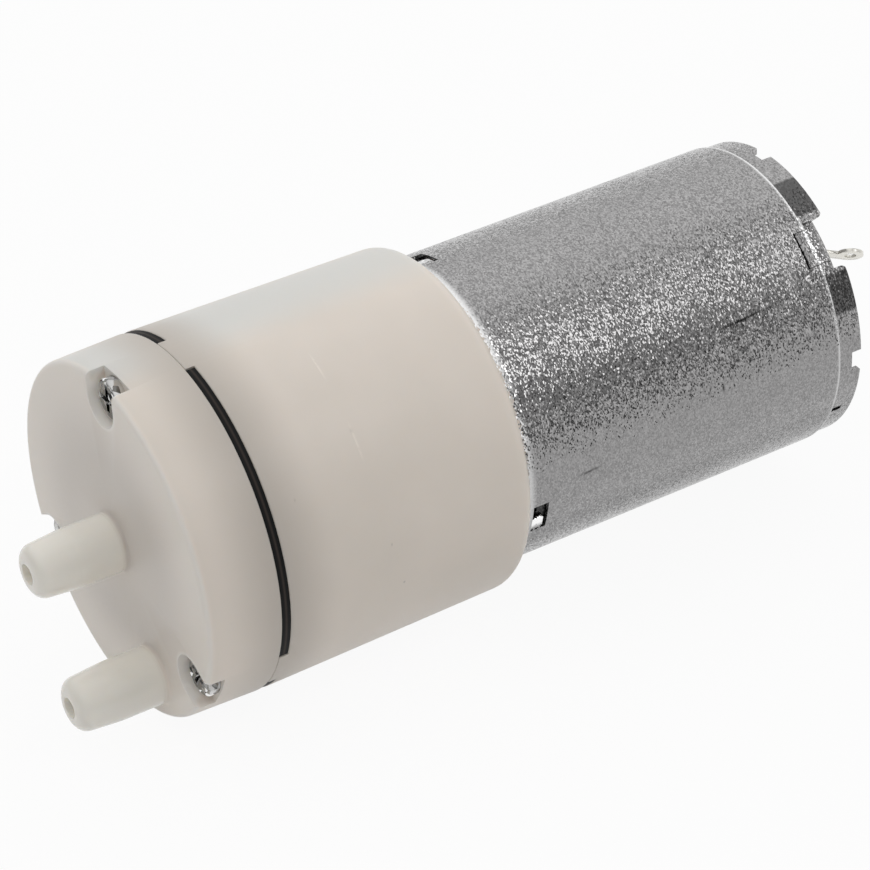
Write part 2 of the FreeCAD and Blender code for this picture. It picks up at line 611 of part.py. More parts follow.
def diaphragm_seat():
    disc = rod_to("SeatDisc", "At.casing_front", "At.seat_back", "At.seat_radius")
    start = before("At.casing_front")
    end = beyond("At.seat_back")
    holes = [rod_to("SeatCentre", start, end, "Size.valve_bulb_radius + Size.bulb_gap")]
    for turn in THIRDS:
        holes.append(rod_to("SeatCupHole", start, end,
                            "At.cup_radius + Size.cup_hole_gap", "At.cup_pitch",
                            at("Size.cup_angle", turn)))
        holes.append(rod_to("SeatNotch", start, end,
                            "At.notch_radius", "At.screw_pitch", at("Size.screw_angle", turn)))
    subpart(cut("DiaphragmSeat", disc, holes), "diaphragm_seat")


# Pump casing

def pump_casing():
    shell = turned("CasingShell", [
        ("At.can_front", "Size.boss_radius + Size.loose_gap"),
        ("At.can_front", "At.casing_rear_radius"),
        ("At.casing_front", "Size.seam_radius"),
        ("At.casing_front", "At.seam_pocket"),
        ("At.seat_back", "At.seam_pocket"),
        ("At.seat_back", "At.casing_bore"),
        ("At.casing_inside", "At.casing_bore"),
        ("At.casing_inside", "Size.boss_radius + Size.loose_gap"),
    ], [("At.can_front", "At.casing_rear_radius", "Size.casing_rear_round")])
    outline = rod_to("CasingOutline", "At.cover_back", "At.casing_inside", "At.casing_rear_radius")
    front_outline = rod_to("TabOutline", "At.cover_back", "At.casing_front", "Size.seam_radius")
    bosses = []
    tabs = []
    holes = []
    for turn in THIRDS:
        angle = at("Size.screw_angle", turn)
        bosses.append(rod_to("CasingBoss", "At.cover_back", "At.boss_back",
                             "Size.screw_boss_radius", "At.screw_pitch", angle))
        tabs.append(block("SeamTab", "At.cover_back", "At.casing_front", "At.tab_inner",
                          beyond("Size.seam_radius"), "Size.tab_width", angle))
        holes.append(rod_to("CasingScrewHole", before("At.cover_back"),
                            "At.boss_back - Size.screw_boss_floor", "Size.screw_radius",
                            "At.screw_pitch", angle))
    for turn in HALVES:
        holes.append(rod_to("CasingMountHole", before("At.casing_inside"), beyond("At.can_front"),
                            "Size.mount_radius + Size.loose_gap", "At.mount_pitch",
                            at("Size.mount_angle", turn)))
    inner = shared("CasingBossesTrimmed", join("CasingBosses", bosses), outline)
    outer = shared("SeamTabsTrimmed", join("SeamTabs", tabs), front_outline)
    subpart(cut("PumpCasing", join("CasingSolid", [shell, inner, outer]), holes), "pump_casing")


# Screws

def screw(name, head_front, head_height, head_radius, end, radius, reach, angle):
    """Cross-recessed screw with its head towards -X."""
    head_back = "%s + %s" % (head_front, head_height)
    head = rod_to(name + "_head", head_front, head_back, head_radius, reach, angle)
    shank = rod_to(name + "_shank", head_back, end, radius, reach, angle)
    recess_end = "%s + Size.recess_depth" % head_front
    half = "%s * Size.recess_share" % head_radius
    slots = [
        block(name + "_slot", before(head_front), recess_end, "%s - %s" % (reach, half),
              "%s + %s" % (reach, half), "Size.recess_width", angle),
        block(name + "_cross", before(head_front), recess_end, "%s - Size.recess_width / 2" % reach,
              "%s + Size.recess_width / 2" % reach, "2 * %s" % half, angle),
    ]
    return cut(name, join(name + "_solid", [head, shank]), slots)


def head_screws():
    front = "At.pocket_floor - Size.screw_head_height"
    screws = [screw("HeadScrew%d" % turn, front, "Size.screw_head_height", "Size.screw_head_radius",
                    "At.pocket_floor + Size.screw_length", "Size.screw_radius", "At.screw_pitch",
                    at("Size.screw_angle", turn)) for turn in THIRDS]
    subpart(group("HeadScrews", screws), "head_screws")


def motor_screws():
    front = "At.casing_inside - Size.mount_head_height"
    screws = [screw("MotorScrew%d" % turn, front, "Size.mount_head_height", "Size.mount_head_radius",
                    "At.can_inside + Size.mount_bite", "Size.mount_radius", "At.mount_pitch",
                    at("Size.mount_angle", turn)) for turn in HALVES]
    subpart(group("MotorScrews", screws), "motor_screws")


# Swing frame, crank pin and eccentric wheel

def swing_frame():
    """Three arms and a stem, made about the swing centre and tilted as a whole."""
    half = "Size.frame_thickness / 2"
    solids = [
        rod_to("FrameHub", "-" + half, half, "Size.frame_hub_radius"),
        rod_to("FrameStem", "0", "Size.frame_stem_length", "Size.frame_stem_radius"),
    ]
    holes = [rod_to("FrameBore", "Size.frame_bore_start", beyond("Size.frame_stem_length"),
                    "Size.pin_radius + Size.running_gap")]
    for turn in THIRDS:
        angle = at("Size.cup_angle", turn)
        solids.append(block("FrameArm", "-" + half, half, "0", "At.cup_pitch",
                            "Size.frame_arm_width", angle))
        solids.append(rod_to("FrameArmEnd", "-" + half, half, "Size.frame_arm_width / 2",
                             "At.cup_pitch", angle))
        holes.append(rod_to("FrameHole", before("-" + half), beyond(half), "Size.frame_hole_radius",
                            "At.cup_pitch", angle))
    subpart(tilted(cut("SwingFrame", join("FrameSolid", solids), holes)), "swing_frame")


def pin_rod(name):
    """Crank pin shape: from just short of the frame's blind bore to inside the wheel."""
    return tilted(group(name, [rod_to(name + "_rod", "Size.frame_bore_start + Size.loose_gap",
                                      "Size.pin_end", "Size.pin_radius")]))


def crank():
    disc = rod_to("WheelDisc", "At.wheel_front", "At.wheel_back", "Size.wheel_radius")
    hub = rod_to("WheelHub", "At.wheel_back", "At.wheel_hub_end", "Size.wheel_hub_radius")
    bore = rod_to("WheelBore", "At.shaft_front", beyond("At.wheel_hub_end"), "Size.shaft_radius")
    wheel = cut("EccentricWheel", join("WheelSolid", [disc, hub]), [bore, pin_rod("PinBore")])
    subpart(wheel, "eccentric_wheel")
    subpart(pin_rod("CrankPin"), "crank_pin")


# Motor can

def motor_can():
    shell = turned("CanShell", [
        ("At.boss_front", "Size.bearing_radius"),
        ("At.boss_front", "Size.boss_radius"),
        ("At.can_front", "Size.boss_radius"),
        ("At.can_front", "Size.can_radius"),
        ("At.can_back", "Size.can_radius"),
        ("At.can_back + Size.rim_step / 2", "At.rim_radius"),
        ("At.rim_end", "At.rim_radius"),
        ("At.rim_end", "At.can_bore"),
        ("At.can_inside", "At.can_bore"),
        ("At.can_inside", "Size.bearing_radius"),
    ], [("At.can_front", "Size.can_radius", "Size.can_edge_round")])
    window_front = "At.can_front + Size.window_offset"
    window_back = window_front + " + Size.window_length"
    slit_back = window_front + " + Size.window_slit"
    mid_wall = "Size.can_radius - Size.can_wall / 2"
    outside = beyond("Size.can_radius")
    inside = before("At.can_bore")
    rim_front = "At.can_back + Size.rim_step / 2"
    rim_back = beyond("At.rim_end")
    holes = []
    for turn in HALVES:
        holes.append(rod_to("CanThread", before("At.can_front"), beyond("At.can_inside"),
                            "Size.mount_radius", "At.mount_pitch", at("Size.mount_angle", turn)))
        key = at("Size.key_angle", turn)
        holes.append(block("KeySlot", "At.key_front - Size.loose_gap", rim_back, inside, outside,
                           "Size.key_width + Size.loose_gap", key))
        holes.append(block("RimGap", rim_front, rim_back, inside, outside,
                           "Size.rim_gap_width", key))
        holes.append(block("CrimpSlit", rim_front,
                           "At.can_back + Size.crimp_slit_length", inside, outside,
                           "Size.crimp_slit_width", at("Size.crimp_slit_angle", turn)))
        for side in (-1, 1):
            window = "%s + (%d) * Size.window_spread" % (key, side)
            notch = "%s + (%d) * Size.notch_spread" % (key, side)
            holes.append(block("WindowSlit", window_front, slit_back, inside, outside,
                               "Size.window_width", window))
            holes.append(block("WindowRecess", window_front, window_back, mid_wall, outside,
                               "Size.window_width", window))
            holes.append(block("RimNotch", "At.rim_end - Size.notch_depth", rim_back, inside, outside,
                               "Size.notch_width", notch))
    subpart(cut("MotorCan", shell, holes), "motor_can")


# Motor rear end

def end_plate():
    disc = rod_to("PlateRound", "At.plate_front", "At.plate_back", "At.plate_radius")
    boss = rod_to("RearBoss", "At.plate_back", "At.rear_boss_end", "Size.boss_radius")
    limit = rod_to("KeyLimit", "At.key_front", "At.key_back", "Size.can_radius")
    keys = []
    slots = [rod_to("RearBearingBore", before("At.plate_front"), beyond("At.rear_boss_end"),
                    "Size.bearing_radius")]
    half = "(Size.terminal_width / 2 + Size.terminal_gap)"
    for turn in HALVES:
        angle = at("Size.key_angle", turn)
        keys.append(block("KeyRoot", "At.plate_front", "At.key_back", before("At.holder_radius"),
                          beyond("Size.can_radius"), "Size.key_width", angle))
        keys.append(block("KeyNose", "At.key_front", "At.key_back", "At.holder_radius + Size.loose_gap",
                          beyond("Size.can_radius"), "Size.key_width", angle))
        slots.append(block("PlateSlot", before("At.plate_front"), beyond("At.plate_back"),
                           "At.terminal_pitch - %s" % half, "At.terminal_pitch + %s" % half,
                           "Size.terminal_thickness + 2 * Size.terminal_gap", angle))
    trimmed = shared("KeysTrimmed", join("Keys", keys), limit)
    subpart(cut("EndPlate", join("EndPlateSolid", [disc, boss, trimmed]), slots), "end_plate")


def bearings():
    """Two sintered bushes, one in each boss."""
    for label, start in (("front_bearing", "At.boss_front"), ("rear_bearing", "At.rear_bearing_front")):
        bush = tube(label + "_bush", start, start + " + Size.bearing_length",
                    "Size.shaft_radius + Size.running_gap", "Size.bearing_radius")
        subpart(bush, label)


def brush_holder():
    disc = tube("HolderDisc", "At.holder_front", "At.plate_front", "Size.holder_bore", "At.holder_radius")
    posts = []
    slots = []
    for turn in HALVES:
        angle = at("At.brush_angle", turn)
        posts.append(block("Post", "At.brush_front", "At.holder_front",
                           "At.post_inner", "At.post_outer", "Size.post_width", angle,
                           "At.arm_span - Size.post_width / 2"))
        slots.append(block("HolderSlot", before("At.holder_front"), beyond("At.plate_front"),
                           "At.terminal_pitch - Size.terminal_width / 2",
                           "At.terminal_pitch + Size.terminal_width / 2",
                           "Size.terminal_thickness", at("Size.key_angle", turn)))
    subpart(cut("BrushHolder", join("HolderSolid", [disc] + posts), slots), "brush_holder")


def brushes():
    """A carbon brush on each side of the commutator, carried by a sprung strip."""
    for index, turn in enumerate(HALVES, 1):
        angle = at("At.brush_angle", turn)
        carbon = block("Brush%d" % index, "At.brush_front", "At.brush_front + Size.brush_length",
                       "At.brush_inner", "At.brush_outer", "Size.brush_width", angle)
        strip = block("BrushArm%d" % index, "At.brush_front", "At.brush_front + Size.brush_length",
                      "At.brush_outer", "At.post_inner",
                      "At.arm_span + Size.brush_width / 2", angle,
                      "(At.arm_span - Size.brush_width / 2) / 2")
        subpart(carbon, "brush_%d" % index)
        subpart(strip, "brush_arm_%d" % index)


def terminals():
    """Narrow blades in the radial plane, each with a leaf bent sideways and a round eyelet."""
    half = "Size.terminal_width / 2"
    for index, turn in enumerate(HALVES, 1):
        name = "Terminal%d" % index
        angle = at("Size.key_angle", turn)
        blade = block(name + "_blade", "At.holder_front", "At.leaf_start", "-" + half, half,
                      "Size.terminal_thickness")
        bend = across(name + "_bend", Vector(0, 1, 0), "At.leaf_start", "Size.terminal_width",
                      "Size.terminal_thickness / 2")
        strip = block(name + "_strip", "0", "Size.terminal_leaf", "-" + half, half,
                      "Size.terminal_thickness")
        tip = across(name + "_tip", Vector(0, 0, 1), "Size.terminal_leaf", "Size.terminal_thickness",
                     "Size.terminal_eye", "At.eye_shift")
        eyelet = across(name + "_eyelet", Vector(0, 0, 1), "Size.terminal_leaf",
                        "2 * Size.terminal_thickness", "Size.eyelet_radius", "At.eye_shift")
        leaf = cut(name + "_leaf", join(name + "_solid", [strip, tip]), [eyelet])
        leaning(leaf, Vector(0, -1, 0), "Size.terminal_bend", "At.leaf_start")
        body = leaning(join(name, [blade, bend, leaf]), Vector(1, 0, 0), angle, "0")
        stand(body, "0", "At.terminal_pitch", angle)
        subpart(body, "terminal_%d" % index)


# Magnets and rotor

def magnets():
    """Two arc magnets pressed against the can, spread by two springs."""
    end = "Size.magnet_start + Size.magnet_length"
    spring_end = "At.spring_start + Size.spring_length"
    for index, turn in enumerate(HALVES, 1):
        key = at("Size.key_angle", turn)
        gap = at("At.brush_angle", turn)
        ring = tube("Magnet%dRing" % index, "Size.magnet_start", end, "At.magnet_inner", "At.magnet_outer")
        far_half = block("Magnet%dFar" % index, before("Size.magnet_start"), beyond(end),
                         "-Size.can_radius", "Size.magnet_gap_width / 2", "2 * Size.can_radius", key)
        subpart(cut("Magnet%d" % index, ring, [far_half]), "magnet_%d" % index)
        strip_ring = tube("Spring%dRing" % index, "At.spring_start", spring_end,
                          "At.magnet_outer - Size.spring_thickness", "At.magnet_outer")
        window = block("Spring%dWindow" % index, "At.spring_start", spring_end, "0", "Size.can_radius",
                       "Size.magnet_gap_width - 2 * Size.loose_gap", gap)
        subpart(shared("Spring%d" % index, strip_ring, window), "magnet_spring_%d" % index)


def rotor_core():
    end = "Size.core_start + Size.core_length"
    ring = tube("ShoeRing", "Size.core_start", end, "At.shoe_inner", "At.core_radius")
    hub = rod_to("CoreHub", "Size.core_start", end, "Size.core_hub_radius")
    webs = [block("CoreWeb", "Size.core_start", end, "0", "At.shoe_inner + Size.core_shoe / 2",
                  "Size.core_web", at("Size.pole_angle", turn)) for turn in THIRDS]
    slots = [block("CoreSlot", before("Size.core_start"), beyond(end), beyond("Size.core_hub_radius"),
                   beyond("At.core_radius"), "Size.core_slot", at("Size.pole_angle", turn))
             for turn in BETWEEN_THIRDS]
    slots.append(rod_to("CoreBore", before("Size.core_start"), beyond(end), "Size.shaft_radius"))
    subpart(cut("RotorCore", join("CoreSolid", [ring, hub] + webs), slots), "rotor_core")


def windings():
    """One coil round each pole web."""
    start = "Size.core_start"
    end = "Size.core_start + Size.core_length"
    for index, turn in enumerate(THIRDS, 1):
        angle = at("Size.pole_angle", turn)
        coil = block("Coil%d" % index, start + " - Size.coil_end", end + " + Size.coil_end",
                     "Size.core_hub_radius + Size.loose_gap", "At.shoe_inner - Size.coil_side",
                     "Size.core_web + 2 * Size.coil_side", angle)
        web = block("CoilWeb%d" % index, start, end, "0", "Size.can_radius", "Size.core_web", angle)
        subpart(cut("Winding%d" % index, coil, [web]), "winding_%d" % index)


def commutator():
    start = "Size.commutator_start"
    end = "Size.commutator_start + Size.commutator_length"
    sleeve = tube("Sleeve", start, end, "Size.shaft_radius", "Size.sleeve_radius")
    subpart(sleeve, "commutator_sleeve")
    for index, turn in enumerate(THIRDS, 1):
        ring = tube("Segment%dRing" % index, start, end, "Size.sleeve_radius", "Size.commutator_radius")
        near = block("Segment%dNear" % index, before(start), beyond(end), "-Size.can_radius",
                     "Size.can_radius", "Size.can_radius", at("Size.pole_angle", turn),
                     "-Size.can_radius / 2 + Size.segment_gap / 2")
        far = block("Segment%dFar" % index, before(start), beyond(end), "-Size.can_radius",
                    "Size.can_radius", "Size.can_radius", at("Size.pole_angle", turn + 120),
                    "Size.can_radius / 2 - Size.segment_gap / 2")
        subpart(cut("Segment%d" % index, ring, [near, far]), "commutator_segment_%d" % index)


def shaft():
    subpart(rod_to("MotorShaft", "At.shaft_front", "At.shaft_back", "Size.shaft_radius"), "motor_shaft")
    front = "At.bearing_back + Size.loose_gap"
    for label, start in (("front_shaft_washer", front), ("rear_shaft_washer", "At.rear_washer_front")):
        ring = tube(label + "_ring", start, start + " + Size.washer_thickness", "Size.shaft_radius",
                    "Size.washer_radius")
        subpart(ring, label)


# Build, check and write

def build():
    front_cover()
    valve_plate()
    inlet_valves()
    outlet_valve()
    diaphragm()
    diaphragm_seat()
    pump_casing()
    head_screws()
    motor_screws()
    swing_frame()
    crank()
    motor_can()
    end_plate()
    bearings()
    brush_holder()
    brushes()
    terminals()
    magnets()
    rotor_core()
    windings()
    commutator()
    shaft()
    doc.recompute()


def check():
    """Every object computed, and every sub-part a valid shape."""
    for thing in doc.Objects:
        if "Invalid" in thing.State or "Error" in thing.State:
            raise RuntimeError("%s did not compute" % thing.Name)
    for thing in SUBPARTS:
        shape = thing.Shape
        if shape.isNull() or not shape.isValid() or not shape.Solids:
            raise RuntimeError("%s has no valid solid" % thing.Label)


def write():
    os.makedirs("parts", exist_ok=True)
    for thing in SUBPARTS:
        thing.Shape.exportStep("parts/%s.step" % thing.Label)
        print(thing.Label, len(thing.Shape.Solids), round(thing.Shape.Volume, 2))


build()
check()
write()
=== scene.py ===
import json
import math

import bmesh
import bpy
from bpy.props import FloatProperty, FloatVectorProperty, IntProperty, PointerProperty
from mathutils import Matrix, Vector


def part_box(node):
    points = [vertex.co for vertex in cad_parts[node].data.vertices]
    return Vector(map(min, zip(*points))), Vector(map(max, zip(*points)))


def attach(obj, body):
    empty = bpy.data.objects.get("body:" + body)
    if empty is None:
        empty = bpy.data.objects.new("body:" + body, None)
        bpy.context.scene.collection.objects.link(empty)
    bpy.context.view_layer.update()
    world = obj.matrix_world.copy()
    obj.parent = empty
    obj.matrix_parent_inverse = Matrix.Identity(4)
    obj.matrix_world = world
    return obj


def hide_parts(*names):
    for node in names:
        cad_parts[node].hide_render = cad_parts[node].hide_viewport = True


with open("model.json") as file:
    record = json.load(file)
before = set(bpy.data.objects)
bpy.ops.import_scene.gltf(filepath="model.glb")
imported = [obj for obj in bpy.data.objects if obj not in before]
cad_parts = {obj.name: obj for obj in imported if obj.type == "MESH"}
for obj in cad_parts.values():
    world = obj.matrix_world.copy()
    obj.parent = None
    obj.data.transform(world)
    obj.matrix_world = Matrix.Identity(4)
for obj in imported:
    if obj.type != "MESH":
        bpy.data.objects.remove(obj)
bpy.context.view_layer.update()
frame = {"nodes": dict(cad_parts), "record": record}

bl_info = {
    "name": "Mini Diaphragm Pump",
    "version": (1, 0, 0),
    "blender": (4, 5, 0),
    "location": "View3D > Sidebar > Pump",
    "description": "Dresses a small round diaphragm pump with a two-nozzle head and a cylindrical motor",
    "category": "Object",
}

MM = 0.001
COVER_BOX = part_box("front_cover")
CASING_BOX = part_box("pump_casing")
CAN_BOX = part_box("motor_can")
PLATE_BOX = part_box("end_plate")
SCREW_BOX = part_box("head_screws")
TERMINAL_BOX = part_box("terminal_1")
MOUNTS = {mount["name"]: mount for mount in frame["record"]["mounts"]}

# The screws sit 0.6 mm behind the cover's face, and the tabs reach 0.7 mm past the casing's edge.
COVER_FRONT = SCREW_BOX[0].x - 0.6 * MM
COVER_BACK = COVER_BOX[1].x
NOZZLE_TIP = COVER_BOX[0].x
CASING_FRONT = CASING_BOX[0].x + 0.7 * MM
CASING_BACK = CASING_BOX[1].x
SEAM_RADIUS = COVER_BOX[1].y
CAN_RADIUS = CAN_BOX[1].y
CAN_FRONT = CASING_BACK
CAN_BACK = -CASING_BACK
RIM_END = CAN_BOX[1].x
BOSS_FRONT = CAN_BOX[0].x
BOSS_RADIUS = 3.0 * MM
BEARING_RADIUS = 2.0 * MM
SEAM_POCKET = 12.35 * MM
POCKET_DEPTH = 2.25 * MM
TAB_FOOT = 12.5 * MM
KEY_FOOT = 10.0 * MM
PLATE_FRONT = CAN_BACK + 0.4 * MM
PLATE_BACK = PLATE_FRONT + 1.2 * MM
KEY_BACK = CAN_BACK + 0.85 * MM
REAR_BOSS_END = PLATE_BOX[1].x
SCREW_ANGLE = math.radians(90)
KEY_ANGLE = math.radians(134)
THIRDS = [SCREW_ANGLE + turn * math.tau / 3 for turn in range(3)]
KEYS = [KEY_ANGLE, KEY_ANGLE + math.pi]
LEAF_START = RIM_END + 0.85 * MM
LEAF_BEND = math.radians(26)
LEAF_LENGTH = 2.3 * MM
EYE_RADIUS = 1.0 * MM
TERMINAL_WIDTH = 1.0 * MM
TERMINAL_SHEET = 0.25 * MM
TERMINAL_PITCH = 7.6 * MM


def distance(name, description, default, **more):
    """A length in metres that a user may change."""
    return FloatProperty(name=name, description=description, default=default, unit="LENGTH",
                         subtype="DISTANCE", precision=5, **more)


def degrees(name, description, default):
    """An angle that a user may change, given here in degrees."""
    return FloatProperty(name=name, description=description, default=math.radians(default), subtype="ANGLE")


def colour(name, description, default):
    """A linear colour that a user may change."""
    return FloatVectorProperty(name=name, description=description, default=default, subtype="COLOR",
                               size=3, min=0.0, max=1.0)


class PumpHeadSizes(bpy.types.PropertyGroup):
    """Sizes of the moulded head."""
    cover_front_radius: distance("Cover front radius", "Radius of the cover at its front edge", 13.6 * MM)
    cover_round: distance("Cover rounding", "Rounding of the cover's front edge", 0.45 * MM)
    seam_round: distance("Seam rounding", "Rounding of the edges along the seam", 0.12 * MM)
    casing_rear_radius: distance("Casing rear radius", "Radius of the casing at its rear edge", 13.47 * MM)
    casing_round: distance("Casing rounding", "Rounding of the casing's rear edge", 1.2 * MM)
    casing_bore: distance("Casing bore", "Inner radius of the casing", 11.6 * MM)
    tab_width: distance("Tab width", "Width of the tabs that bridge the seam", 4.0 * MM)
    pocket_radius: distance("Pocket radius", "Half width of the screw pockets", 1.9 * MM)
    pocket_depth: distance("Pocket depth", "Depth of the screw pockets", 1.5 * MM)
    screw_head: distance("Screw head", "Radius of the screws' heads", 1.6 * MM)
    screw_shank: distance("Screw shank", "Radius of the screws' shanks", 1.0 * MM)
    screw_pitch: distance("Screw pitch", "Distance of the head screws from the shaft axis", 11.9 * MM)
    nozzle_tip_radius: distance("Nozzle tip radius", "Radius of a nozzle at its tip", 2.0 * MM)
    nozzle_taper: distance("Nozzle taper", "Length of the tapered end of a nozzle", 3.3 * MM)
    nozzle_round: distance("Nozzle rounding", "Rounding of a nozzle's tip", 1.0 * MM)
    nozzle_bore: distance("Nozzle bore", "Radius of the air channel", 0.8 * MM)
    nozzle_root: distance("Nozzle root", "Rounding where a nozzle meets the cover", 0.25 * MM)
    pocket_edge: distance("Pocket edge", "Bevel on the edges of the pockets and bores", 0.12 * MM)


class MotorSizes(bpy.types.PropertyGroup):
    """Sizes of the motor's visible sheet parts."""
    edge_round: distance("Can edge rounding", "Rounding of the can's front edge", 0.9 * MM)
    wall: distance("Can wall", "Sheet thickness of the can", 0.8 * MM)
    rim_step: distance("Rim step", "Step down from the can to its rim", 0.2 * MM)
    window_width: distance("Window width", "Width of the front windows", 2.6 * MM)
    window_spread: degrees("Window spread", "Angle of the windows from the key line", 61.1)
    notch_spread: degrees("Notch spread", "Angle of the rim notches from the key line", 48)
    slit_angle: degrees("Slit angle", "Angle of the short slit in the rim", 204.7)
    key_width: distance("Key width", "Width of the end-plate keys", 2.8 * MM)
    rim_gap: distance("Rim gap", "Opening in the rim beside each key", 4.0 * MM)
    rim_corner: distance("Rim corner", "Rounding of the rim beside each key", 0.6 * MM)


class PumpColours(bpy.types.PropertyGroup):
    """Base colours of the finishes."""
    plastic: colour("Plastic", "Milky moulded plastic", (0.89, 0.81, 0.73))
    plastic_deep: colour("Deep plastic", "Plastic in its cloudy patches", (0.83, 0.76, 0.68))
    steel: colour("Can steel", "Dull plated sheet of the can", (0.365, 0.36, 0.36))
    # Painted highlight: the pale colour laid on the can's front edge, rim shoulder and window lugs
    painted_highlight: colour("Burnished steel", "Sheet where the tools drew its edges", (0.97, 0.97, 0.97))
    rubber: colour("Rubber", "Black rubber of the diaphragm", (0.008, 0.008, 0.008))
    nickel: colour("Nickel", "Plated screws", (0.68, 0.66, 0.62))
    brass: colour("Tinned brass", "Solder terminals", (0.84, 0.82, 0.76))
    copper: colour("Copper", "Windings and contacts", (0.72, 0.33, 0.16))
    floor: colour("Floor", "Plain pale floor", (0.88, 0.88, 0.88))


class PumpStage(bpy.types.PropertyGroup):
    """Camera and light."""
    focal: FloatProperty(name="Focal length", description="Lens on a 36 mm wide sensor", default=162.6,
                         subtype="DISTANCE_CAMERA")
    eye: FloatVectorProperty(name="Camera place", description="Where the camera stands", size=3,
                             default=(-0.13762, -0.20761, 0.16509), subtype="XYZ", unit="LENGTH")
    azimuth: degrees("Azimuth", "Turn of the camera round the pump", -30.681)
    elevation: degrees("Elevation", "Height angle of the camera", 34.634)
    roll: degrees("Roll", "Lean of the camera", -2.726)
    bright: FloatProperty(name="Soft light", description="Strength of the light above and behind",
                          default=0.96, min=0.0)
    dim: FloatProperty(name="Dim side", description="Strength of the light from the camera's side",
                       default=0.06, min=0.0)
    window: FloatProperty(name="Window", description="Extra strength of the small window beside the camera",
                          default=2.2, min=0.0)
    white_share: FloatProperty(name="White floor", description="How far the floor is seen as plain white",
                               default=0.93, min=0.0, max=1.0, subtype="FACTOR")
    steps: IntProperty(name="Round steps", description="Faces round a turned piece", default=160, min=24)


def head():
    return bpy.context.scene.pump_head


def motor():
    return bpy.context.scene.pump_motor


def tints():
    return bpy.context.scene.pump_colours


def stage():
    return bpy.context.scene.pump_stage


# Mesh helpers

def only(piece):
    """Select one object and make it active."""
    bpy.ops.object.select_all(action="DESELECT")
    piece.select_set(True)
    bpy.context.view_layer.objects.active = piece


def edit(piece, select="DESELECT"):
    """Go into edit mode on one object."""
    only(piece)
    bpy.ops.object.mode_set(mode="EDIT")
    bpy.ops.mesh.select_all(action=select)


def leave():
    bpy.ops.object.mode_set(mode="OBJECT")


def settle(piece):
    """Put the object's place, turn and scale into its mesh."""
    only(piece)
    bpy.ops.object.transform_apply(location=True, rotation=True, scale=True)
    return piece


def around(x, reach, angle):
    """Point at a distance and angle from the shaft axis."""
    return Vector((x, reach * math.cos(angle), reach * math.sin(angle)))


def rounded(corners, closed=True, arc_steps=8):
    """Outline through (x, radius, rounding) corners, with each rounding as a tangent arc."""
    points = []
    count = len(corners)
    for index, (x, radius, rounding) in enumerate(corners):
        here = Vector((x, radius))
        if rounding <= 0 or (not closed and index in (0, count - 1)):
            points.append(here)
            continue
        before = Vector(corners[index - 1][:2]) - here
        after = Vector(corners[(index + 1) % count][:2]) - here
        half = before.angle(after) / 2
        reach = rounding / math.tan(half)
        middle = here + (before.normalized() + after.normalized()).normalized() * rounding / math.sin(half)
        start = here + before.normalized() * reach - middle
        turn = start.angle_signed(here + after.normalized() * reach - middle)
        for step in range(arc_steps + 1):
            swing = Matrix.Rotation(-turn * step / arc_steps, 2)
            points.append(middle + swing @ start)
    return points


def chain(name, places):
    """Object with one line of vertices through the places, left selected in edit mode."""
    bpy.ops.object.select_all(action="DESELECT")
    bpy.ops.mesh.primitive_plane_add(size=MM, location=places[0])
    piece = bpy.context.object
    piece.name = name
    settle(piece)
    edit(piece, "SELECT")
    bpy.ops.mesh.merge(type="CENTER")
    for here, there in zip(places, places[1:]):
        bpy.ops.mesh.extrude_vertices_move(TRANSFORM_OT_translate={"value": there - here})
    bpy.ops.mesh.select_all(action="SELECT")
    bpy.ops.mesh.remove_doubles(threshold=0.001 * MM)
    return piece


def turned(name, corners, closed=True, middle=(0.0, 0.0), start=0.0, sweep=math.tau, arc_steps=8):
    """Spin a rounded half profile about an axis along X through middle."""
    points = rounded(corners, closed, arc_steps)
    if closed:
        points.append(points[0])
    out = (math.cos(start), math.sin(start))
    piece = chain(name, [Vector((p.x, middle[0] + p.y * out[0], middle[1] + p.y * out[1])) for p in points])
    steps = max(2, round(stage().steps * abs(sweep) / math.tau))
    bpy.ops.mesh.spin(steps=steps, angle=-sweep, center=(0.0, *middle), axis=(1.0, 0.0, 0.0))
    bpy.ops.mesh.select_all(action="SELECT")
    bpy.ops.mesh.remove_doubles(threshold=0.001 * MM)
    if sweep < math.tau:
        bpy.ops.mesh.select_all(action="DESELECT")
        bpy.ops.mesh.select_non_manifold()
        bpy.ops.mesh.edge_face_add()
        bpy.ops.mesh.select_all(action="SELECT")
    bpy.ops.mesh.normals_make_consistent(inside=False)
    leave()
    return piece


def outline_block(name, corners, inner, outer, angle):
    """Block whose outline, given as (x, across, rounding) corners, runs from inner to outer at an angle."""
    side = around(0.0, 1.0, angle + math.pi / 2)
    places = [around(point.x, inner, angle) + point.y * side for point in rounded(corners)]
    piece = chain(name, places + places[:1])
    bpy.ops.mesh.edge_face_add()
    reach = around(0.0, outer - inner, angle)
    bpy.ops.mesh.extrude_region_move(TRANSFORM_OT_translate={"value": reach})
    bpy.ops.mesh.select_all(action="SELECT")
    bpy.ops.mesh.normals_make_consistent(inside=False)
    leave()
    return piece


def rod(name, start, end, radius, reach=0.0, angle=0.0, sides=64):
    """Cylinder along X."""
    bpy.ops.object.select_all(action="DESELECT")
    bpy.ops.mesh.primitive_cylinder_add(vertices=sides, radius=radius, depth=end - start,
                                        location=around((start + end) / 2, reach, angle),
                                        rotation=(0.0, math.pi / 2, 0.0))
    piece = bpy.context.object
    piece.name = name
    return settle(piece)


def slab(name, start, end, inner, outer, width, angle):
    """Box along X whose depth runs along the given angle."""
    bpy.ops.object.select_all(action="DESELECT")
    bpy.ops.mesh.primitive_cube_add(size=1.0, location=around((start + end) / 2, (inner + outer) / 2, angle),
                                    rotation=(angle, 0.0, 0.0))
    piece = bpy.context.object
    piece.name = name
    piece.scale = (end - start, outer - inner, width)
    return settle(piece)


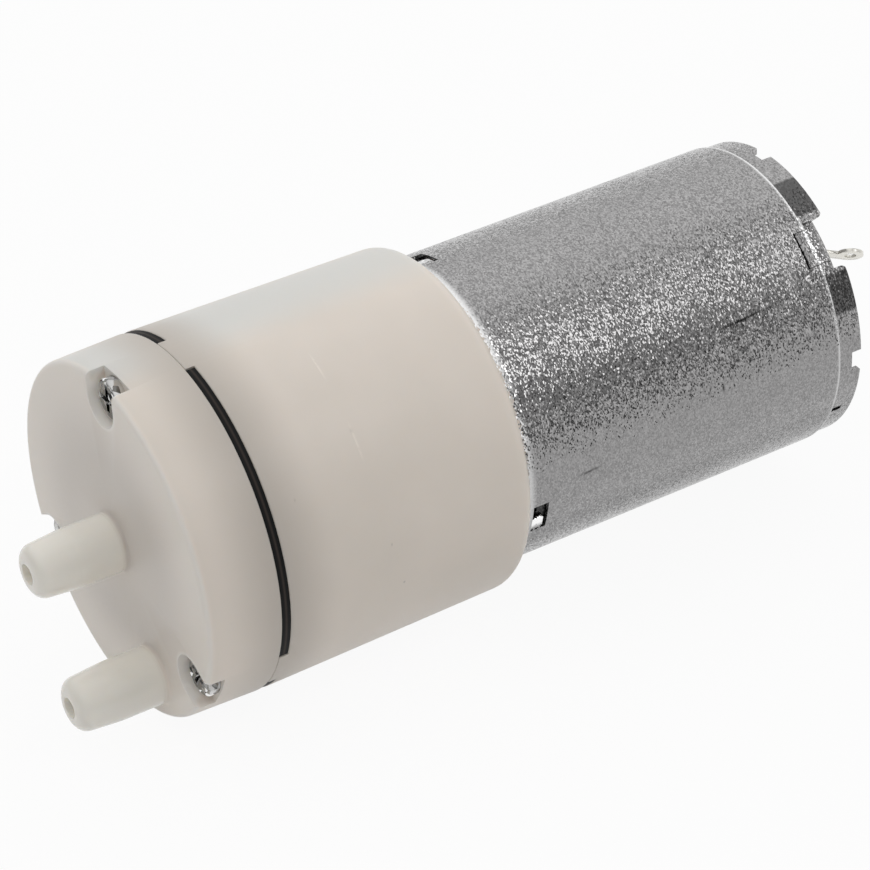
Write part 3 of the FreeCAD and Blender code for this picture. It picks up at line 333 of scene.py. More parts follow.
def pick(piece, test):
    """In edit mode, select the vertices for which test(place) is true."""
    shape = bmesh.from_edit_mesh(piece.data)
    for vertex in shape.verts:
        vertex.select_set(bool(test(vertex.co)))
    shape.select_flush(True)
    bmesh.update_edit_mesh(piece.data)


def carve(piece, tools, operation="DIFFERENCE"):
    """Cut tools out of a piece, or add them to it."""
    for tool in tools:
        modifier = piece.modifiers.new("Carve", "BOOLEAN")
        modifier.operation = operation
        modifier.solver = "EXACT"
        modifier.object = tool
        only(piece)
        bpy.ops.object.modifier_apply(modifier=modifier.name)
        bpy.data.objects.remove(tool)
    return piece


def soften(piece, width):
    """Break the sharp edges that the cuts left."""
    modifier = piece.modifiers.new("Soften", "BEVEL")
    modifier.width = width
    modifier.segments = 2
    modifier.limit_method = "ANGLE"
    modifier.angle_limit = math.radians(35)
    modifier.miter_outer = "MITER_ARC"
    only(piece)
    bpy.ops.object.modifier_apply(modifier=modifier.name)


def finish_piece(piece, cad_node, slot):
    """Shading, material, body and the CAD node that the piece stands for."""
    only(piece)
    bpy.ops.object.shade_smooth_by_angle(angle=math.radians(32))
    piece.data.materials.clear()
    piece.data.materials.append(MATERIALS[slot])
    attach(piece, "pump_body")
    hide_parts(cad_node)


# Shader nodes

def fill(tree, made, sockets):
    """Give a node its inputs: the output of another node is linked, anything else is a value."""
    for key, value in sockets.items():
        if isinstance(value, bpy.types.NodeSocket):
            tree.links.new(value, made.inputs[key])
        else:
            made.inputs[key].default_value = value
    return made


def node(tree, kind, sockets=None, **settings):
    """New shader node with its settings and its inputs, by name or number."""
    made = tree.nodes.new("ShaderNode" + kind)
    for key, value in settings.items():
        setattr(made, key, value)
    return fill(tree, made, sockets or {})


def calc(tree, operation, *parts, **settings):
    """Result of a sum on numbers."""
    return node(tree, "Math", dict(enumerate(parts)), operation=operation, **settings).outputs[0]


def vector(tree, operation, *parts, **more):
    """Result of a sum on vectors, which is a number for a length or a product."""
    made = node(tree, "VectorMath", {**dict(enumerate(parts)), **more}, operation=operation)
    return made.outputs["Value" if operation in ("DOT_PRODUCT", "LENGTH", "DISTANCE") else "Vector"]


def place(tree):
    """Place on the object."""
    return node(tree, "TexCoord").outputs["Object"]


def soft_step(tree, value, start, end):
    """One before start and nothing after end, with a soft change between."""
    return node(tree, "MapRange", {"Value": value, "From Min": start, "From Max": end, "To Min": 1.0,
                                   "To Max": 0.0}, interpolation_type="SMOOTHSTEP").outputs["Result"]


def new_group(name, inputs):
    """Shader group with number and vector inputs, and what the inputs bring in."""
    group = bpy.data.node_groups.new(name, "ShaderNodeTree")
    for label, default in inputs.items():
        kind = "NodeSocketVector" if isinstance(default, tuple) else "NodeSocketFloat"
        group.interface.new_socket(label, in_out="INPUT", socket_type=kind).default_value = default
    return group, group.nodes.new("NodeGroupInput").outputs


def give(group, **results):
    """Outputs of a group: masks and heights are numbers, a normal is a vector."""
    for label in results:
        kind = "NodeSocketVector" if label == "Normal" else "NodeSocketFloat"
        group.interface.new_socket(label, in_out="OUTPUT", socket_type=kind)
    fill(group, group.nodes.new("NodeGroupOutput"), results)


def drift_group():
    """Slow patches of tone, as moulded plastic and plated sheet have."""
    group, given = new_group("SlowDrift", {"Scale": 100.0, "Low": 0.35, "High": 0.65})
    noise = node(group, "TexNoise", {"Vector": place(group), "Scale": given["Scale"], "Detail": 3.0,
                                     "Roughness": 0.55})
    spread = node(group, "MapRange", {"Value": noise.outputs["Fac"], "From Min": given["Low"],
                                      "From Max": given["High"]})
    give(group, Mask=spread.outputs["Result"])


def grain_group():
    """Fine grain as a height and as a mask."""
    group, given = new_group("FineGrain", {"Scale": 4000.0, "Contrast": 0.5})
    noise = node(group, "TexNoise", {"Vector": place(group), "Scale": given["Scale"], "Detail": 2.0,
                                     "Roughness": 0.7}).outputs["Fac"]
    half = calc(group, "MULTIPLY", given["Contrast"], 0.5)
    spread = node(group, "MapRange", {"Value": noise, "From Min": calc(group, "SUBTRACT", 0.5, half),
                                      "From Max": calc(group, "ADD", 0.5, half)})
    give(group, Height=noise, Mask=spread.outputs["Result"])


def ring_group():
    """Soft band round the shaft axis at one place along it."""
    group, given = new_group("RingBand", {"Place": 0.0, "Half Width": 0.5 * MM})
    along = node(group, "SeparateXYZ", {0: place(group)}).outputs["X"]
    miss = calc(group, "ABSOLUTE", calc(group, "SUBTRACT", along, given["Place"]))
    give(group, Mask=soft_step(group, miss, 0.0, given["Half Width"]))


def fade_group(name, reach):
    """Mask that fades out between two places along a direction, or two distances from an axis."""
    group, given = new_group(name, {"Start": 0.0, "End": MM, "Direction": (1.0, 0.0, 0.0),
                                    "Middle": (0.0, 0.0, 0.0)})
    offset = vector(group, "SUBTRACT", place(group), given["Middle"])
    if reach:
        part = vector(group, "LENGTH", vector(group, "CROSS_PRODUCT", offset, given["Direction"]))
    else:
        part = vector(group, "DOT_PRODUCT", offset, given["Direction"])
    give(group, Mask=soft_step(group, part, given["Start"], given["End"]))


def facet_group():
    """Crystal facets of a plated sheet, each with its own lean and tone."""
    group, given = new_group("CrystalFacets", {"Scale": 4000.0, "Lean": 0.3, "Stretch": (1.0, 1.0, 1.0)})
    drawn_grain_and_highlight = vector(group, "MULTIPLY", place(group), given["Stretch"])
    cells = node(group, "TexVoronoi", {"Vector": drawn_grain_and_highlight, "Scale": given["Scale"]}, feature="F1").outputs["Color"]
    centred = vector(group, "SUBTRACT", cells, (0.5, 0.5, 0.5))
    leaned = vector(group, "SCALE", centred, Scale=given["Lean"])
    surface = node(group, "NewGeometry").outputs["Normal"]
    give(group, Normal=vector(group, "NORMALIZE", vector(group, "ADD", surface, leaned)),
         Mask=node(group, "SeparateXYZ", {0: cells}).outputs["X"])


def scratch_group():
    """Thin straight mark about a middle point, broken up along its run."""
    group, given = new_group("ScratchMark", {"Middle": (0.0, 0.0, 0.0), "Run": (1.0, 0.0, 0.0),
                                             "Half Length": MM, "Half Width": 0.08 * MM})
    here = place(group)
    offset = vector(group, "SUBTRACT", here, given["Middle"])
    along = vector(group, "DOT_PRODUCT", offset, given["Run"])
    foot = vector(group, "SCALE", given["Run"], Scale=along)
    ends = soft_step(group, calc(group, "ABSOLUTE", along), 0.0, given["Half Length"])
    sides = soft_step(group, vector(group, "DISTANCE", offset, foot), 0.0, given["Half Width"])
    noise = node(group, "TexNoise", {"Vector": here, "Scale": 2600.0, "Detail": 1.0})
    broken = node(group, "MapRange", {"Value": noise.outputs["Fac"], "From Min": 0.24, "From Max": 0.42})
    give(group, Mask=calc(group, "MULTIPLY", calc(group, "MULTIPLY", ends, sides), broken.outputs["Result"]))


# Material helpers

def spaced(sockets):
    """Socket names as Blender writes them."""
    return {key.replace("_", " "): value for key, value in sockets.items()}


def use_group(tree, name, **sockets):
    """Outputs of a shared group, placed in a material with its own values."""
    placed = tree.nodes.new("ShaderNodeGroup")
    placed.node_tree = bpy.data.node_groups[name]
    return fill(tree, placed, spaced(sockets)).outputs


def principled(name, colour_value, **sockets):
    """Material with a Principled shader, its node tree and that shader."""
    material = bpy.data.materials.new(name)
    material.use_nodes = True
    tree = material.node_tree
    shader = tree.nodes["Principled BSDF"]
    fill(tree, shader, {"Base Color": (*colour_value, 1.0), **spaced(sockets)})
    return material, tree, shader


def mix_colours(tree, mask, first, second, target):
    """Blend two colours by a mask into a socket."""
    blend = node(tree, "Mix", {0: mask, 6: (*first, 1.0), 7: (*second, 1.0)}, data_type="RGBA")
    tree.links.new(blend.outputs[2], target)


def vary(tree, mask, low, high, target):
    """Spread a mask between two values into a socket."""
    spread = node(tree, "MapRange", {"Value": mask, "To Min": low, "To Max": high})
    tree.links.new(spread.outputs["Result"], target)


def overlay(tree, mask, value, socket, share=1.0):
    """Lay a colour or a number over what a socket gets so far, where the mask is."""
    is_colour = isinstance(value, tuple)
    under, over, result = (6, 7, 2) if is_colour else (2, 3, 0)
    blend = node(tree, "Mix", {
        0: calc(tree, "MULTIPLY", mask, share),
        under: socket.links[0].from_socket,
        over: (*value, 1.0) if is_colour else value,
    }, data_type="RGBA" if is_colour else "FLOAT")
    tree.links.new(blend.outputs[result], socket)


def bump(tree, height, strength, depth, shader):
    """Raise a height over the surface."""
    relief = node(tree, "Bump", {"Strength": strength, "Distance": depth, "Height": height})
    tree.links.new(relief.outputs["Normal"], shader.inputs["Normal"])


def shade(colour_value, factor):
    """A colour made lighter or darker."""
    return tuple(min(1.0, part * factor) for part in colour_value)


def fade(tree, name, start, end, **more):
    """Mask that is one before start and nothing after end."""
    return use_group(tree, name, Start=start, End=end, **more)["Mask"]


def sector(tree, radius, angle, inner, outer):
    """Mask of the part of a round surface that lies about an angle, soft between two half angles."""
    start, end = (radius * math.cos(math.radians(half)) for half in (inner, outer))
    return fade(tree, "AlongFade", start, end, Direction=around(0.0, 1.0, math.radians(angle)))


def both(tree, first, second):
    """Where two masks overlap."""
    return calc(tree, "MULTIPLY", first, second)


def ring(tree, x, half_width):
    """Mask of a soft ring round the shaft axis."""
    return use_group(tree, "RingBand", Place=x, Half_Width=half_width)["Mask"]


def scratch(tree, x, radius, angle, half_length, half_width, run=None):
    """Mask of a thin mark on a round surface; it runs round the surface where no run is given."""
    return use_group(tree, "ScratchMark", Middle=around(x * MM, radius, math.radians(angle)),
                     Run=run or around(0.0, 1.0, math.radians(angle + 90)),
                     Half_Length=half_length * MM, Half_Width=half_width * MM)["Mask"]


# Materials

SEAM_MIDDLE = (COVER_BACK + CASING_FRONT) / 2
# Painted shade: the plastic is darkened towards the rubber in the seam
SEAM_SHADE_TONE = (0.62, 0.565, 0.505)
# Painted light: a cooler, greyer tone along the top of the head, where the light from above falls
TOP_LIGHT_TONE = (0.79, 0.785, 0.75)
TOP_ANGLE = math.radians(74)
# Painted highlight along the rounded front edge of the cover
EDGE_HIGHLIGHT_TONE = (0.97, 0.93, 0.88)
# Nozzles painted lighter, standing in for the light that the thin milky plastic lets through
NOZZLE_LIGHT_TONE = (1.0, 0.955, 0.865)
# Painted light in the screw pockets, lifting the shade inside them
POCKET_LIGHT_TONE = (0.98, 0.93, 0.87)
# Painted highlight: a browner, lighter band along the middle of the rubber's edge
RUBBER_HIGHLIGHT_TONE = (0.048, 0.038, 0.033)
# Marks on the casing: place along the shaft and radius in mm, angle in degrees, half length and
# half width in mm, whether it is paler than the plastic, share
CASING_MARKS = (
    (-27.07, 13.6, 114.0, 1.5, 0.13, True, 1.0),
    (-27.07, 13.6, 140.0, 1.9, 0.13, True, 0.8),
    (-27.10, 13.6, 136.5, 0.3, 0.20, False, 0.35),
    (-25.51, 13.6, 190.0, 0.2, 0.14, False, 0.8),
    (-32.98, 13.7, 149.5, 0.2, 0.12, False, 0.7),
    (-26.44, 13.6, 174.0, 0.2, 0.12, False, 0.6),
)
# Painted shade on the low sides of the can: middle angle, inner and outer half angle in degrees, shade
LOW_SIDE_SHADES = ((184, 14, 30, 0.6), (222, 10, 27, 0.2))
# Painted shade on parts of the rim: its radius, then middle angle and half angle in degrees
RIM_RADIUS = 11.8 * MM
RIM_SHADES = ((113.0, 9.0), (153.0, 8.5))
# Long scratches on the can: place in mm, angle in degrees, half length in mm, share
CAN_SCRATCHES = ((6.3, 149.0, 3.9, 1.0), (-8.6, 182.2, 1.5, 0.8))
SCRATCH_RUN = (0.998, 0.0, 0.06)
SCRATCH_SHADE = 0.08


def moulded_plastic(name, light, dark):
    """Milky, slightly see-through plastic with cloudy patches and a fine moulded skin."""
    material, tree, shader = principled(name, light, Roughness=0.42, Subsurface_Weight=0.25, IOR=1.49,
                                        Subsurface_Radius=(1.0, 0.85, 0.7), Subsurface_Scale=1.2 * MM)
    drift = use_group(tree, "SlowDrift", Scale=90.0, Low=0.3, High=0.7)
    grain = use_group(tree, "FineGrain", Scale=2500.0, Contrast=0.6)
    mix_colours(tree, drift["Mask"], dark, light, shader.inputs["Base Color"])
    vary(tree, grain["Mask"], 0.36, 0.5, shader.inputs["Roughness"])
    bump(tree, grain["Height"], 0.12, 0.02 * MM, shader)
    return material


def head_plastic(name, light, dark):
    """Moulded plastic with painted cooler light along the top of the head and painted shade towards the rubber
    in the seam.
    """
    material = moulded_plastic(name, light, dark)
    tree = material.node_tree
    shader = tree.nodes["Principled BSDF"]
    base = shader.inputs["Base Color"]
    # Painted light: a cooler tone along the top of the head
    high = fade(tree, "AlongFade", 13.75 * MM, 12.3 * MM, Direction=around(0.0, 1.0, TOP_ANGLE))
    overlay(tree, high, TOP_LIGHT_TONE, base)
    # Painted shade darkening the plastic towards the rubber in the seam
    overlay(tree, ring(tree, SEAM_MIDDLE, 5.0 * MM), SEAM_SHADE_TONE, base)
    return material, tree, base, shader.inputs["Roughness"]


def cover_plastic(name, light, dark):
    """The cover's plastic: a front face painted lighter at its edge and with painted shade towards its middle,
    a painted highlight along its front edge, nozzles painted lighter for the light through the milky plastic,
    and painted light in the screw pockets.
    """
    material, tree, base, rough = head_plastic(name, light, dark)
    # Painted light and shade on the front face: lighter at its edge, darker towards the middle
    face = fade(tree, "AlongFade", COVER_FRONT, COVER_FRONT + 0.6 * MM)
    overlay(tree, face, shade(light, 1.07), base)
    overlay(tree, both(tree, face, fade(tree, "ReachFade", 6.0 * MM, 13.0 * MM)), shade(light, 0.77), base)
    # Painted highlight along the cover's rounded front edge
    overlay(tree, ring(tree, COVER_FRONT + 0.15 * MM, 0.3 * MM), EDGE_HIGHLIGHT_TONE, base, 0.6)
    # The nozzles are painted lighter, standing in for the light through the milky plastic, and made glossier
    nozzles = fade(tree, "AlongFade", COVER_FRONT - 0.6 * MM, COVER_FRONT)
    overlay(tree, nozzles, NOZZLE_LIGHT_TONE, base)
    overlay(tree, nozzles, 0.22, rough)
    # Painted light in the shallow part of each screw pocket, lifting its shade
    shallow = fade(tree, "AlongFade", COVER_FRONT + 1.3 * MM, COVER_FRONT + 1.6 * MM)
    edge = head().pocket_radius
    for angle in THIRDS:
        pocket = fade(tree, "ReachFade", edge, edge + 0.3 * MM, Middle=around(0.0, head().screw_pitch, angle))
        overlay(tree, both(tree, pocket, shallow), POCKET_LIGHT_TONE, base, 0.9)
    return material


def casing_plastic(name, light, dark):
    """The casing's plastic with the marks that handling left on it."""
    material, tree, base, _ = head_plastic(name, light, dark)
    for x, radius, angle, half, width, paler, share in CASING_MARKS:
        mark = scratch(tree, x, radius * MM, angle, half, width)
        overlay(tree, mark, shade(light, 1.14) if paler else shade(dark, 0.62), base, share)
    return material


def plated_sheet(name, tone, painted_highlight):
    """Dull plated sheet with a crystal speckle, painted highlights along its front edge, its rim shoulder and
    the window lugs, and painted shade on its low sides, in the windows and on parts of the rim.
    """
    material, tree, shader = principled(name, tone, Metallic=1.0, Roughness=0.16)
    drift = use_group(tree, "SlowDrift", Scale=160.0, Low=0.3, High=0.7)
    facets = use_group(tree, "CrystalFacets", Scale=7600.0, Lean=0.42, Stretch=(1.5, 1.0, 1.0))
    base = shader.inputs["Base Color"]
    rough = shader.inputs["Roughness"]
    mix_colours(tree, facets["Mask"], shade(tone, 0.6), shade(tone, 1.35), base)
    vary(tree, drift["Mask"], 0.09, 0.16, rough)
    # Painted highlights on the rounded front edge and the rim shoulder
    for x, half in ((CAN_FRONT + 0.35 * MM, 0.75 * MM), (CAN_BACK - 0.02 * MM, 0.26 * MM)):
        drawn_grain_and_highlight = ring(tree, x, half)
        overlay(tree, drawn_grain_and_highlight, painted_highlight, base)
        overlay(tree, drawn_grain_and_highlight, 0.16, rough)
    # Painted shade on the low sides of the can
    for angle, inner, outer, factor in LOW_SIDE_SHADES:
        overlay(tree, sector(tree, CAN_RADIUS, angle, inner, outer), shade(tone, factor), base, 0.5)

    def behind(x, width):
        """Mask that is nothing before a place and one after its width."""
        return fade(tree, "AlongFade", -x - width, -x, Direction=(-1.0, 0.0, 0.0))

    # Painted highlight on the window lugs and painted shade deep in the windows
    window = both(tree, fade(tree, "AlongFade", CAN_FRONT + 2.2 * MM, CAN_FRONT + 2.3 * MM),
                  behind(CAN_FRONT + 0.65 * MM, 0.05 * MM))
    lug = fade(tree, "ReachFade", CAN_RADIUS - 0.07 * MM, CAN_RADIUS - 0.03 * MM)
    depth = fade(tree, "ReachFade", CAN_RADIUS - 0.3 * MM, CAN_RADIUS - 0.2 * MM)
    overlay(tree, both(tree, window, lug), painted_highlight, base)
    overlay(tree, both(tree, window, depth), shade(tone, 0.08), base)
    # Painted shade on parts of the rim
    rim = behind(CAN_BACK, 0.2 * MM)
    for angle, half in RIM_SHADES:
        part = sector(tree, RIM_RADIUS, angle, half - 1.5, half)
        overlay(tree, both(tree, part, rim), shade(tone, 0.22), base, 0.85)
    for x, angle, half, share in CAN_SCRATCHES:
        long_mark = scratch(tree, x, CAN_RADIUS, angle, half, 0.19, SCRATCH_RUN)
        overlay(tree, long_mark, shade(tone, SCRATCH_SHADE), base, share)
    overlay(tree, scratch(tree, 3.5, CAN_RADIUS, 170.0, 0.55, 0.16), shade(tone, SCRATCH_SHADE), base)
    tree.links.new(facets["Normal"], shader.inputs["Normal"])
    return material


def grained(name, tone, roughness, metallic, scale, tones, spread, relief):
    """Plain finish with a fine grain in its colour, its gloss and its skin."""
    material, tree, shader = principled(name, tone, Metallic=metallic, Roughness=roughness)
    grain = use_group(tree, "FineGrain", Scale=scale, Contrast=0.6)
    mix_colours(tree, grain["Mask"], *(shade(tone, factor) for factor in tones), shader.inputs["Base Color"])
    vary(tree, grain["Mask"], roughness + spread[0], roughness + spread[1], shader.inputs["Roughness"])
    bump(tree, grain["Height"], *relief, shader)
    return material


def plain_metal(name, tone, roughness):
    """Bright metal of a small part, with light handling marks."""
    return grained(name, tone, roughness, 1.0, 3000.0, (0.85, 1.0), (-0.05, 0.08), (0.1, 0.01 * MM))


def dull_solid(name, tone, roughness):
    """Rubber, carbon, ferrite or dark plastic."""
    return grained(name, tone, roughness, 0.0, 1800.0, (0.8, 1.25), (-0.06, 0.06), (0.15, 0.02 * MM))


def black_rubber(name, tone):
    """Rubber with a painted highlight, a browner band along the middle of its edge."""
    material = dull_solid(name, tone, 0.62)
    tree = material.node_tree
    shader = tree.nodes["Principled BSDF"]
    shader.inputs["Specular IOR Level"].default_value = 0.15
    # Painted highlight along the middle of the rubber's edge in the seam
    overlay(tree, ring(tree, SEAM_MIDDLE, 0.16 * MM), RUBBER_HIGHLIGHT_TONE, shader.inputs["Base Color"])
    return material


def chipped_metal(name, tone):
    """Bright plating on a small uneven part, which flashes light and dark."""
    material, tree, shader = principled(name, tone, Metallic=1.0, Roughness=0.12)
    facets = use_group(tree, "CrystalFacets", Scale=1900.0, Lean=1.8)
    mix_colours(tree, facets["Mask"], shade(tone, 0.25), shade(tone, 1.6), shader.inputs["Base Color"])
    tree.links.new(facets["Normal"], shader.inputs["Normal"])
    return material


MATERIALS = {}


def make_materials():
    """Build the shader groups, then one material for each finish in the record."""
    colours = tints()
    drift_group()
    grain_group()
    ring_group()
    fade_group("AlongFade", False)
    fade_group("ReachFade", True)
    facet_group()
    scratch_group()
    MATERIALS.update({
        "casing_plastic": casing_plastic("CasingPlastic", colours.plastic, colours.plastic_deep),
        "cover_plastic": cover_plastic("CoverPlastic", colours.plastic, colours.plastic_deep),
        "inner_plastic": moulded_plastic("InnerPlastic", (0.72, 0.71, 0.67), (0.62, 0.61, 0.57)),
        "running_plastic": moulded_plastic("RunningPlastic", (0.80, 0.79, 0.74), (0.72, 0.71, 0.66)),
        "black_rubber": black_rubber("BlackRubber", colours.rubber),
        "screw_steel": chipped_metal("ScrewNickel", colours.nickel),
        "plated_can": plated_sheet("CanSheet", colours.steel, tuple(colours.painted_highlight)),
        "sintered_bronze": plain_metal("SinteredBronze", (0.42, 0.27, 0.12), 0.5),
        "ferrite": dull_solid("Ferrite", (0.05, 0.05, 0.055), 0.55),
        "spring_steel": plain_metal("SpringSteel", (0.62, 0.62, 0.64), 0.2),
        "lamination_steel": plain_metal("LaminationSteel", (0.28, 0.28, 0.3), 0.45),
        "enamelled_copper": plain_metal("EnamelledCopper", shade(colours.copper, 0.7), 0.3),
        "motor_plastic": dull_solid("MotorPlastic", (0.03, 0.03, 0.032), 0.45),
        "bare_copper": plain_metal("BareCopper", colours.copper, 0.28),
        "carbon": dull_solid("Carbon", (0.02, 0.02, 0.02), 0.7),
        "tinned_brass": plain_metal("TinnedBrass", colours.brass, 0.3),
    })


class PUMP_OT_finishes(bpy.types.Operator):
    """Make the materials and give each CAD node its finish"""
    bl_idname = "pump.finishes"
    bl_label = "Finishes"

    def execute(self, context):
        make_materials()
        for entry in frame["record"]["subparts"]:
            cad = frame["nodes"][entry["node"]]
            cad.data.materials.clear()
            cad.data.materials.append(MATERIALS[entry["material_slot"]])
            modifier = cad.modifiers.new("Smooth", "EDGE_SPLIT")
            modifier.split_angle = math.radians(30)
            for face in cad.data.polygons:
                face.use_smooth = True
        return {"FINISHED"}


# Front cover

def nozzle(name, reach, angle):
    """Round hose nozzle with a soft tip and a small root fillet."""
    sizes = head()
    radius = MOUNTS["outlet_nozzle"]["dims"]["r_mm"] * MM
    centre = around(0.0, reach, angle)
    root = sizes.nozzle_root
    return turned(name, [
        (NOZZLE_TIP, 0.0, 0.0),
        (NOZZLE_TIP, sizes.nozzle_tip_radius, sizes.nozzle_round),
        (NOZZLE_TIP + sizes.nozzle_taper, radius, 4.0 * MM),
        (COVER_FRONT, radius, root),
        (COVER_FRONT, radius + root, 0.0),
        (COVER_FRONT + 1.2 * MM, radius + root, 0.0),
        (COVER_FRONT + 1.2 * MM, 0.0, 0.0),
    ], closed=False, middle=(centre.y, centre.z))


def pocket_tool(angle):
    """U-shaped pocket, open through the side wall."""
    sizes = head()
    tool = rod("Pocket", COVER_FRONT - MM, COVER_FRONT + sizes.pocket_depth, sizes.pocket_radius,
               sizes.screw_pitch, angle, 48)
    outward = around(0.0, 1.0, angle)
    edit(tool)
    pick(tool, lambda co: co.dot(outward) > sizes.screw_pitch + 0.01 * MM)
    bpy.ops.transform.translate(value=outward * 3 * MM)
    leave()
    return tool


class PUMP_OT_cover(bpy.types.Operator):
    """Front cover with two nozzles and three open screw pockets"""
    bl_idname = "pump.cover"
    bl_label = "Front cover"

    def execute(self, context):
        sizes = head()
        cover = turned("cover", [
            (COVER_FRONT, 0.0, 0.0),
            (COVER_FRONT, sizes.cover_front_radius, sizes.cover_round),
            (COVER_BACK, SEAM_RADIUS, sizes.seam_round),
            (COVER_BACK, SEAM_POCKET, 0.0),
            (COVER_BACK - POCKET_DEPTH, SEAM_POCKET, 0.0),
            (COVER_BACK - POCKET_DEPTH, 0.0, 0.0),
        ], closed=False)
        inlet = Vector(MOUNTS["inlet_nozzle"]["pos_m"])
        inlet_reach = math.hypot(inlet.y, inlet.z)
        inlet_angle = math.atan2(inlet.z, inlet.y)
        seats = ((0.0, 0.0), (inlet_reach, inlet_angle))
        carve(cover, [nozzle("Nozzle", reach, angle) for reach, angle in seats], "UNION")
        carve(cover, [pocket_tool(angle) for angle in THIRDS])
        carve(cover, [rod("Bore", NOZZLE_TIP - MM, COVER_FRONT + 2 * MM, sizes.nozzle_bore, reach, angle, 48)
                      for reach, angle in seats])
        screw_hole = sizes.screw_shank + 0.1 * MM
        carve(cover, [rod("ScrewHole", COVER_FRONT, COVER_BACK + MM, screw_hole, sizes.screw_pitch, angle, 32)
                      for angle in THIRDS])
        soften(cover, sizes.pocket_edge)
        finish_piece(cover, "front_cover", "cover_plastic")
        return {"FINISHED"}


# Pump casing

class PUMP_OT_casing(bpy.types.Operator):
    """Casing with a drafted wall and three tabs that bridge the seam"""
    bl_idname = "pump.casing"
    bl_label = "Pump casing"

    def execute(self, context):
        sizes = head()
        floor = CASING_BACK - 2.0 * MM
        boss_hole = BOSS_RADIUS + 0.1 * MM
        casing = turned("casing", [
            (CASING_BACK, boss_hole, 0.1 * MM),
            (CASING_BACK, sizes.casing_rear_radius, sizes.casing_round),
            (CASING_FRONT, SEAM_RADIUS, sizes.seam_round),
            (CASING_FRONT, SEAM_POCKET, 0.0),
            (CASING_FRONT + 2.0 * MM, SEAM_POCKET, 0.0),
            (CASING_FRONT + 2.0 * MM, sizes.casing_bore, 0.0),
            (floor, sizes.casing_bore, 0.5 * MM),
            (floor, boss_hole, 0.0),
        ])
        half_turn = math.asin(sizes.tab_width / 2 / SEAM_RADIUS)
        for angle in THIRDS:
            tab = turned("Tab", [
                (COVER_BACK, TAB_FOOT, 0.0),
                (COVER_BACK, SEAM_RADIUS, 0.08 * MM),
                (CASING_FRONT, SEAM_RADIUS, 0.0),
                (CASING_FRONT + 0.3 * MM, SEAM_RADIUS - 0.005 * MM, 0.0),
                (CASING_FRONT + 0.3 * MM, TAB_FOOT, 0.0),
            ], start=angle - half_turn, sweep=2 * half_turn, arc_steps=3)
            carve(casing, [tab], "UNION")
        finish_piece(casing, "pump_casing", "casing_plastic")
        return {"FINISHED"}


# Head screws

class PUMP_OT_screws(bpy.types.Operator):
    """Three cross-recessed screws in the cover"""
    bl_idname = "pump.screws"
    bl_label = "Head screws"

    def execute(self, context):
        sizes = head()
        top = SCREW_BOX[0].x
        seat = COVER_FRONT + sizes.pocket_depth
        for index, angle in enumerate(THIRDS, 1):
            centre = around(0.0, sizes.screw_pitch, angle)
            screw = turned("head_screw_%d" % index, [
                (top, 0.0, 0.0),
                (top, sizes.screw_head, 0.35 * MM),
                (seat, sizes.screw_head, 0.05 * MM),
                (seat, sizes.screw_shank, 0.0),
                (SCREW_BOX[1].x, sizes.screw_shank, 0.2 * MM),
                (SCREW_BOX[1].x, 0.0, 0.0),
            ], closed=False, middle=(centre.y, centre.z), arc_steps=4)
            recess = top + 0.55 * MM
            for half, width in ((0.95 * MM, 0.42 * MM), (0.21 * MM, 1.9 * MM)):
                carve(screw, [slab("Slot", top - MM, recess, sizes.screw_pitch - half,
                                   sizes.screw_pitch + half, width, angle)])
            finish_piece(screw, "head_screws", "screw_steel")
        return {"FINISHED"}


# Motor can

